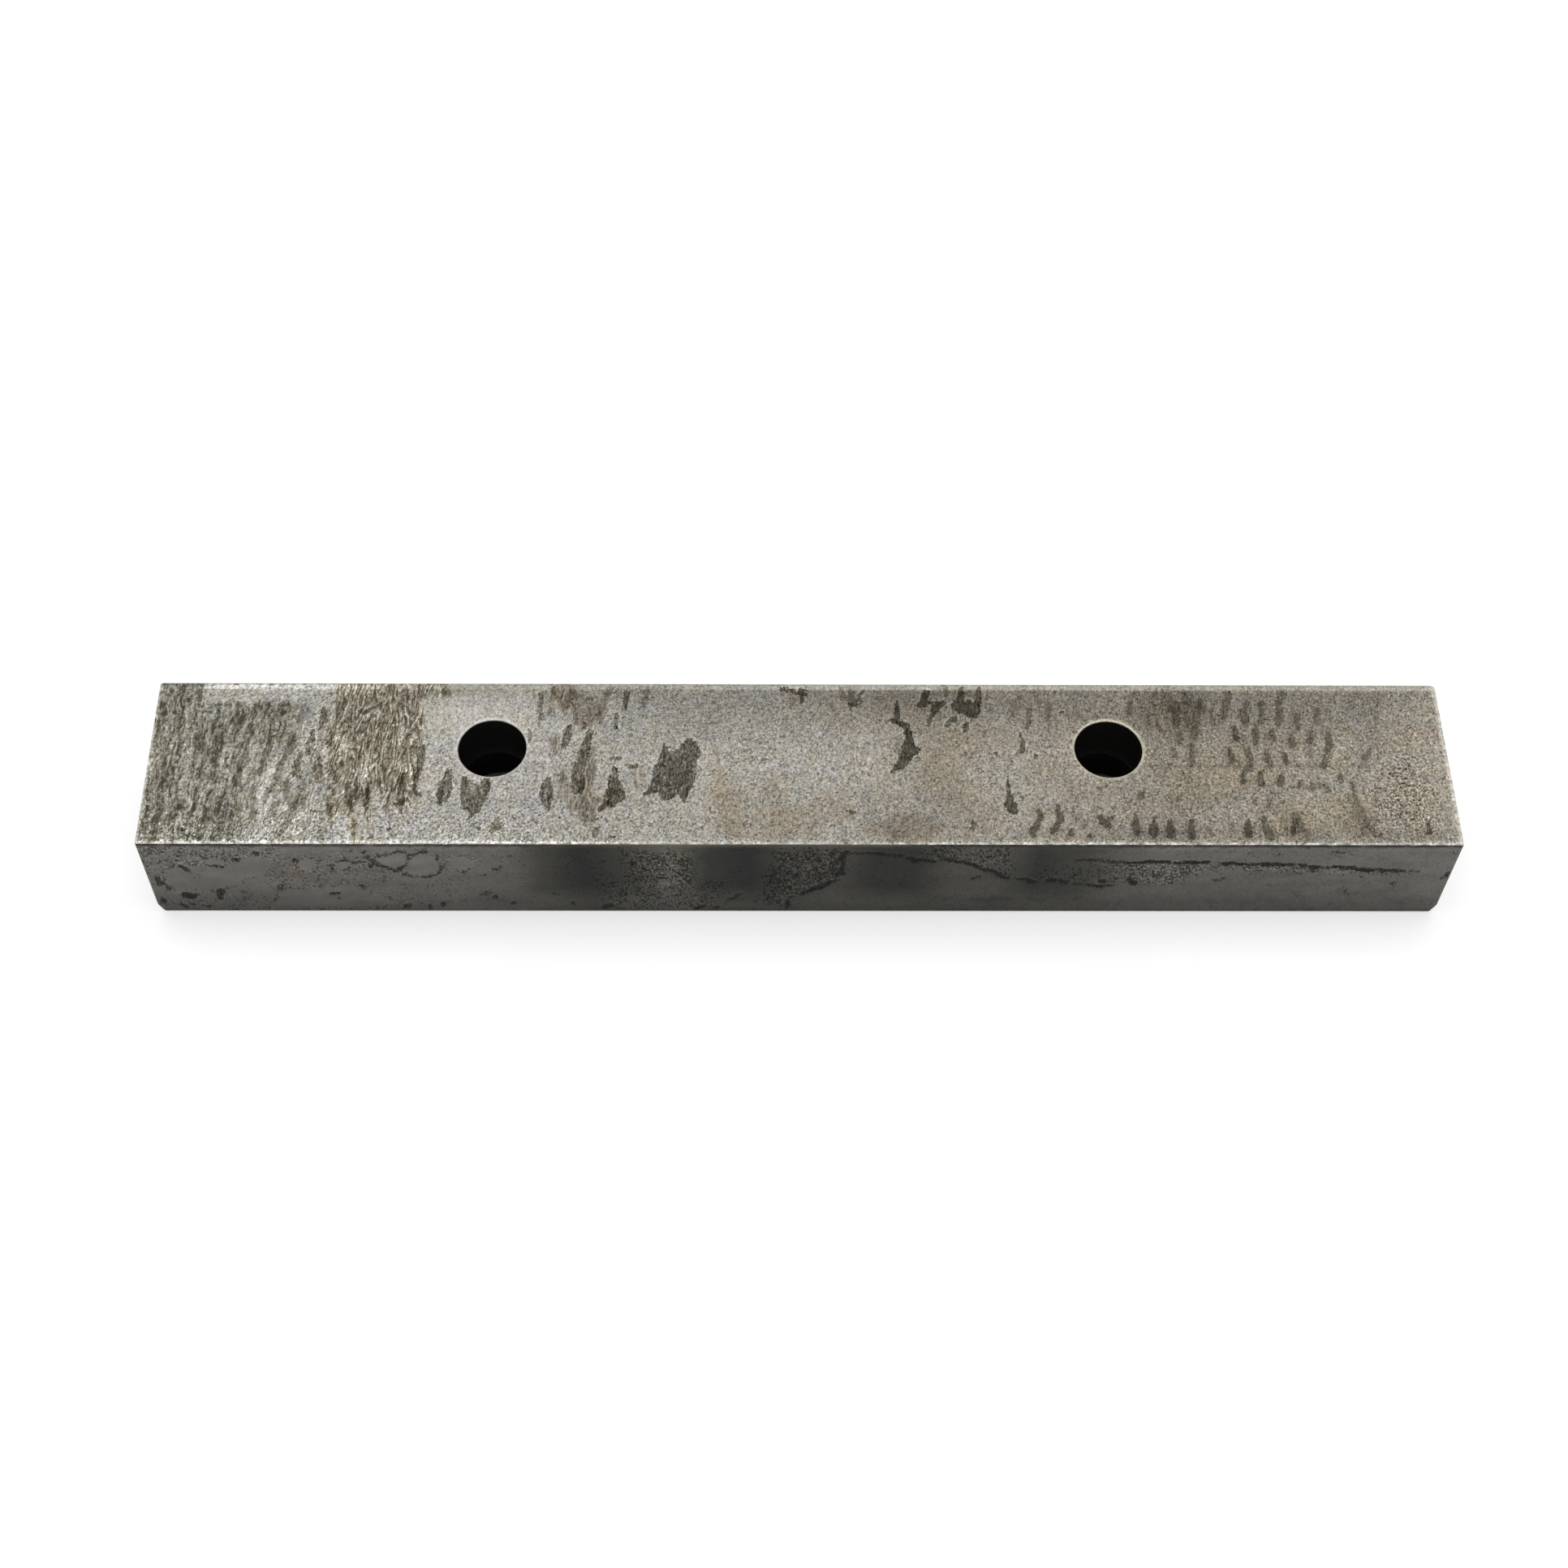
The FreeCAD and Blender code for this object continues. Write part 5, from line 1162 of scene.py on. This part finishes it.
# ---------------------------------------------------------------- material
class Graph:
    """Adds shader nodes to a material or a world and wires them up."""

    def __init__(self, owner):
        owner.use_nodes = True
        self.tree = owner.node_tree
        self.tree.nodes.clear()

    def node(self, kind, values, output=0, **settings):
        """A new node with these settings and inputs, and one of its outputs."""
        made = self.tree.nodes.new(kind)
        for name, value in settings.items():
            setattr(made, name, value)
        for key, value in values.items() if isinstance(values, dict) else enumerate(values):
            if isinstance(value, bpy.types.NodeSocket):
                self.tree.links.new(value, made.inputs[key])
            else:
                made.inputs[key].default_value = value
        return made.outputs[output] if made.outputs else made

    def math(self, operation, *values, clamp=False):
        return self.node("ShaderNodeMath", values, operation=operation, use_clamp=clamp)

    def vector(self, operation, *values):
        return self.node("ShaderNodeVectorMath", values, operation=operation)

    def total(self, *values):
        """The sum of (value, factor) pairs and plain values."""
        result = 0.0
        for value in values:
            pair = value if isinstance(value, tuple) else (value, 1.0)
            result = self.math("MULTIPLY_ADD", *pair, result)
        return result

    def product(self, first, *others):
        for value in others:
            first = self.math("MULTIPLY", first, value)
        return first

    def most(self, first, *others):
        for value in others:
            first = self.math("MAXIMUM", first, value)
        return first

    def smooth(self, value, low, high, start=0.0, end=1.0):
        """Rises smoothly from start to end as value goes from low to high."""
        values = {"Value": value, "From Min": low, "From Max": high, "To Min": start, "To Max": end}
        return self.node("ShaderNodeMapRange", values, interpolation_type="SMOOTHSTEP")

    def share(self, value, amount):
        """1 + value * amount, which makes a brightness swing."""
        return self.math("MULTIPLY_ADD", value, amount, 1.0)

    def darker(self, tone, amount, depth):
        """tone times (1 - amount * depth)."""
        return self.math("MULTIPLY", tone, self.share(amount, -depth))

    def cells(self, place, size, shift):
        """Places measured in cells of that (x, y, z) size in millimetres, moved aside by a shift."""
        scaled = self.vector("MULTIPLY", place, [1 / s for s in size])
        return self.vector("ADD", scaled, (shift, shift * 1.7, shift * 0.6))

    def noise(self, place, size, detail=0.0, roughness=0.5, distortion=0.0, shift=0.0):
        """Noise of about 0 to 1 round 0.5."""
        values = {"Vector": self.cells(place, size, shift), "Scale": 1.0, "Detail": detail,
                  "Roughness": roughness, "Distortion": distortion}
        return self.node("ShaderNodeTexNoise", values)

    def crumbs(self, place, size, shift):
        """Cells like crumbs, with a random value from 0 to 1 each."""
        values = {"Vector": self.cells(place, size, shift), "Scale": 1.0}
        return self.node("ShaderNodeTexVoronoi", values, "Color")

    def blend(self, amount, first, second):
        """The colour between two colours."""
        return self.node("ShaderNodeMix", {0: amount, 6: first, 7: second}, output=2, data_type="RGBA")

    def layers(self, name):
        """The four layers of one painted attribute."""
        colour = self.node("ShaderNodeAttribute", {}, output="Color", attribute_name=name)
        parts = self.tree.nodes.new("ShaderNodeSeparateColor")
        self.tree.links.new(colour, parts.inputs[0])
        return (*parts.outputs, colour.node.outputs["Alpha"])


def steel_material():
    """Worn mild steel: the painted tone and stains, sharpened and grained by fine noise."""
    material = bpy.data.materials.new("worn_mild_steel")
    graph = Graph(material)
    flow = graph.node("ShaderNodeAttribute", {}, output="Vector", attribute_name="flow")
    tone, brown, olive, red = graph.layers("steel")
    streaks, band, pits, grime = graph.layers("skin")
    cover, strength, hue, grain = graph.layers("marks")

    def swing(size, *settings, shift=0.0):
        """A noise that swings about 0."""
        return graph.math("SUBTRACT", graph.noise(flow, size, *settings, shift=shift), 0.5)

    def lit_swing(size, *settings, shift, aside):
        """A swinging noise, and how much it differs a small step aside: its lit and its shaded flanks."""
        beside = graph.noise(graph.vector("ADD", flow, aside), size, *settings, shift=shift)
        here = graph.noise(flow, size, *settings, shift=shift)
        return graph.math("SUBTRACT", here, 0.5), graph.math("SUBTRACT", beside, here)

    def crumbled(size, shift):
        """Crumbs whose values swing about 0."""
        return graph.math("SUBTRACT", graph.crumbs(flow, size, shift), 0.5)

    def thread(swinging):
        """Thin wandering lines where a swinging noise crosses 0."""
        return graph.smooth(graph.math("ABSOLUTE", swinging), THREAD_WIDTH, 0.0)

    speckle = swing((0.20, 0.22, 0.22), 1.0, 0.5)
    grit = crumbled((0.17, 0.19, 0.19), 5)
    crumb = crumbled((0.20, 0.45, 0.45), 7)
    hair = swing((0.15, 0.60, 0.60), 1.0, 0.6, shift=11)
    fleck, fleck_flank = lit_swing((0.40, 1.5, 1.5), 1.0, 0.6, 0.4, shift=23, aside=SIDE_STEP)
    thin_fleck, thin_flank = lit_swing((0.22, 0.75, 0.75), 1.0, 0.6, 0.4, shift=37, aside=SIDE_STEP)
    pock, pock_flank = lit_swing((0.21, 0.28, 0.40), 1.0, 0.6, shift=19, aside=BACK_STEP)
    furrow = swing((0.48, 4.5, 4.5), 1.0, 0.5, 0.3, shift=41)
    contour = swing((1.6, 9.0, 9.0), 1.0, 0.45, shift=53)
    dash = swing((0.24, 0.40, 0.50), 1.0, 0.6, 0.3, shift=71)
    torn = swing((0.30, 0.85, 0.85), 2.0, 0.6, shift=89)
    patchy = swing((0.9, 1.5, 1.5), 2.0, 0.6, shift=97)
    vein, crack = thread(fleck), thread(torn)

    # grain all over
    fine = graph.share(graph.total((grit, 2.0), (speckle, 4.0), (hair, 1.3)), grain)

    # old streaked skin: thin bright and dark lines down long furrows, with lit and shaded flanks
    flank = graph.total((fleck_flank, 2.2), (thin_flank, 1.4))
    thin_lines = graph.total((crumb, 0.5), (hair, 1.3), (thin_fleck, 1.6), (fleck, 1.2), (flank, 0.5))
    thin_lines = graph.total(thin_lines, (vein, 0.34), (crack, -0.34))
    streaky = graph.product(streaks, graph.total(thin_lines, (furrow, 2.0)))
    fine = graph.product(fine, graph.share(streaky, STREAK_GAIN))
    dark_fleck = graph.smooth(graph.total((thin_fleck, 0.5), (fleck, 0.5)), -0.02, -0.10)
    streak_dark = graph.product(streaks, dark_fleck)

    # brown band: nested wavy lines, bright ones between dark ones
    waved = graph.math("SINE", graph.total((contour, 80.0), (thin_fleck, 6.0), (patchy, 3.0)))
    bright_wave = graph.product(graph.smooth(waved, 0.45, 1.0), graph.smooth(patchy, -0.14, 0.06))
    dark_wave = graph.smooth(waved, -0.2, -0.95)
    waves = graph.total((bright_wave, 0.95), (dark_wave, -0.42), (thin_lines, 0.75))
    fine = graph.product(fine, graph.share(graph.product(band, waves), BAND_GAIN))
    fine = graph.most(fine, DARKEST_GRAIN)

    # pitted skin: little bumps lit from behind, with dark pits between them, the more the more it is pitted
    fine = graph.product(fine, graph.share(pits, graph.total((pock, 1.0), (pock_flank, -3.4))))
    crowded = graph.total((pock, -1.0), (pits, 0.20), (patchy, 0.5))
    pit = graph.product(graph.smooth(crowded, 0.08, 0.32), graph.smooth(pits, 0.0, 0.2))
    lit = graph.darker(tone, pit, 0.42)

    # grime: fine dark flecks in the stains
    soil = graph.product(grime, graph.smooth(graph.total((thin_fleck, 0.6), (speckle, 0.4)), -0.04, 0.10))
    lit = graph.darker(lit, soil, 0.50)

    # crisp marks with torn edges, a bright lip, a dark rim and a streaky inside
    raggedness = graph.total((torn, 1.5), (dash, 1.0))
    torn_cover = graph.math("ADD", cover, graph.product(raggedness, graph.smooth(cover, 0.0, 0.25)))
    mark = graph.product(graph.smooth(torn_cover, 0.42, 0.54), strength)
    rim = graph.product(mark, graph.smooth(torn_cover, 0.86, 0.56))
    lip = graph.product(graph.smooth(torn_cover, 0.12, 0.34), graph.smooth(torn_cover, 0.50, 0.40), strength)
    hairy = graph.total((hair, 1.8), (thin_fleck, 2.2), (vein, -0.25), (crack, 0.25), (grit, -0.4))
    inside = graph.total((graph.product(hairy, graph.total((streaks, 0.8), 0.4)), 1.0), 0.54)
    lit = graph.darker(lit, graph.product(mark, inside), 1.0)
    lit = graph.darker(lit, rim, 0.48)
    lit = graph.darker(lit, lip, -0.35)
    lit = graph.product(lit, fine)

    # colour: bright specks are bare steel, painted highlights are made as neutral, and the tint changes less
    # from speck to speck than the brightness
    bare = graph.most(graph.product(band, bright_wave), graph.smooth(lit, 0.45, 0.80))
    tinge = graph.smooth(graph.noise(flow, (1.1, 1.4, 1.4), 2.0, 0.6, shift=131), 0.34, 0.66, -0.05, 0.36)
    blush = swing((0.8, 1.0, 1.0), 1.0, 0.5, shift=151)
    unmarked = graph.math("SUBTRACT", 1.0, mark)
    brown = graph.total((brown, unmarked), (hue, mark), (blush, 0.9), (bare, -0.3))
    olive = graph.total(graph.most(graph.total(olive, tinge), graph.product(mark, 0.8)), (bare, -0.3))
    colour = graph.blend(graph.math("ADD", olive, 0.0, clamp=True), NEUTRAL, GREEN)
    colour = graph.blend(graph.math("ADD", brown, 0.0, clamp=True), colour, RUSTY)
    colour = graph.blend(red, colour, DARK_RED)
    tint = graph.product(graph.math("POWER", lit, TINT_POWER), graph.math("POWER", tone, 1 - TINT_POWER))
    colour = graph.vector("MULTIPLY_ADD", colour, tint, graph.math("SUBTRACT", lit, tint))
    colour = graph.vector("MAXIMUM", colour, DARKEST)

    # gloss and fine relief
    sunk = graph.most(streak_dark, graph.product(band, dark_wave), pit, mark)
    rough = graph.total((sunk, 0.22), (speckle, 0.16), 0.44)
    metal = graph.math("MULTIPLY_ADD", sunk, 0.15, 0.55)
    height = graph.total((cover, -1.0), (fleck, -0.5), (speckle, 0.45), 1.0)
    bump = graph.node("ShaderNodeBump", {"Strength": 0.5, "Distance": BUMP_HEIGHT, "Height": height})
    values = {"Base Color": colour, "Metallic": metal, "Roughness": rough, "Normal": bump,
              "Specular IOR Level": 0.2}
    graph.node("ShaderNodeOutputMaterial", {"Surface": graph.node("ShaderNodeBsdfPrincipled", values)})
    return material


# ---------------------------------------------------------------- stage
def seen_ray(graph):
    """1 for rays from the camera, straight or by way of a reflection or glass, and 0 for light."""
    path = graph.tree.nodes.new("ShaderNodeLightPath").outputs
    return graph.most(path["Is Camera Ray"], path["Is Glossy Ray"], path["Is Transmission Ray"])


def add_floor():
    """A pale floor that reads as a white ground and keeps the jaw's shadow."""
    material = bpy.data.materials.new("white_ground")
    graph = Graph(material)
    parts = graph.tree.nodes.new("ShaderNodeSeparateXYZ")
    graph.tree.links.new(graph.node("ShaderNodeTexCoord", {}, output="Object"), parts.inputs[0])
    beside = graph.math("SUBTRACT", graph.math("ABSOLUTE", parts.outputs[0]), HALF_LENGTH / MM)
    before = graph.math("SUBTRACT", graph.math("ABSOLUTE", parts.outputs[1]), HALF_WIDTH / MM)
    open_ground = graph.smooth(graph.most(beside, before), *GLOW_FADE)
    glow = graph.product(seen_ray(graph), open_ground, FLOOR_GLOW)
    diffuse = graph.node("ShaderNodeBsdfDiffuse", {"Color": (FLOOR_GREY, FLOOR_GREY, FLOOR_GREY, 1)})
    emission = graph.node("ShaderNodeEmission", {"Color": WHITE, "Strength": glow})
    shader = graph.node("ShaderNodeAddShader", (diffuse, emission))
    graph.node("ShaderNodeOutputMaterial", {"Surface": shader})
    mesh = bpy.data.meshes.new("floor")
    corners = [(-FLOOR_REACH, -FLOOR_REACH, 0), (FLOOR_REACH, -FLOOR_REACH, 0),
               (FLOOR_REACH, FLOOR_REACH, 0), (-FLOOR_REACH, FLOOR_REACH, 0)]
    mesh.from_pydata(corners, [], [(0, 1, 2, 3)])
    mesh.materials.append(material)
    add_object("floor", mesh)


def add_camera():
    """In front of the jaw, well above it and a little left of its middle."""
    lens = bpy.data.cameras.new("view")
    lens.lens, lens.sensor_width, lens.clip_start = LENS, SENSOR, NEAREST
    camera = add_object("view", lens)
    camera.location = CAMERA_PLACE
    camera.rotation_euler = [math.radians(angle) for angle in CAMERA_TURN]
    bpy.context.scene.camera = camera


def add_lights():
    """A soft box overhead and a little behind, and an even pale sky."""
    panel = bpy.data.lights.new("soft_box", "AREA")
    panel.shape, panel.energy = "RECTANGLE", SOFT_BOX_WATTS
    panel.size, panel.size_y = SOFT_BOX_SIZE
    lamp = add_object("soft_box", panel)
    lamp.location = SOFT_BOX_PLACE
    lamp.rotation_euler = (math.atan2(-SOFT_BOX_PLACE[1], SOFT_BOX_PLACE[2]), 0, 0)

    world = bpy.data.worlds.new("pale_sky")
    bpy.context.scene.world = world
    graph = Graph(world)
    strength = graph.math("MULTIPLY_ADD", seen_ray(graph), 1 - SKY, SKY)
    background = graph.node("ShaderNodeBackground", {"Color": WHITE, "Strength": strength})
    graph.node("ShaderNodeOutputWorld", {"Surface": background})


bpy.context.scene.view_settings.view_transform = "Standard"
add_camera()
add_lights()
add_floor()
jaw = make_piece(build_skin(), steel_material())
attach(jaw, "root")
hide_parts(NODE)
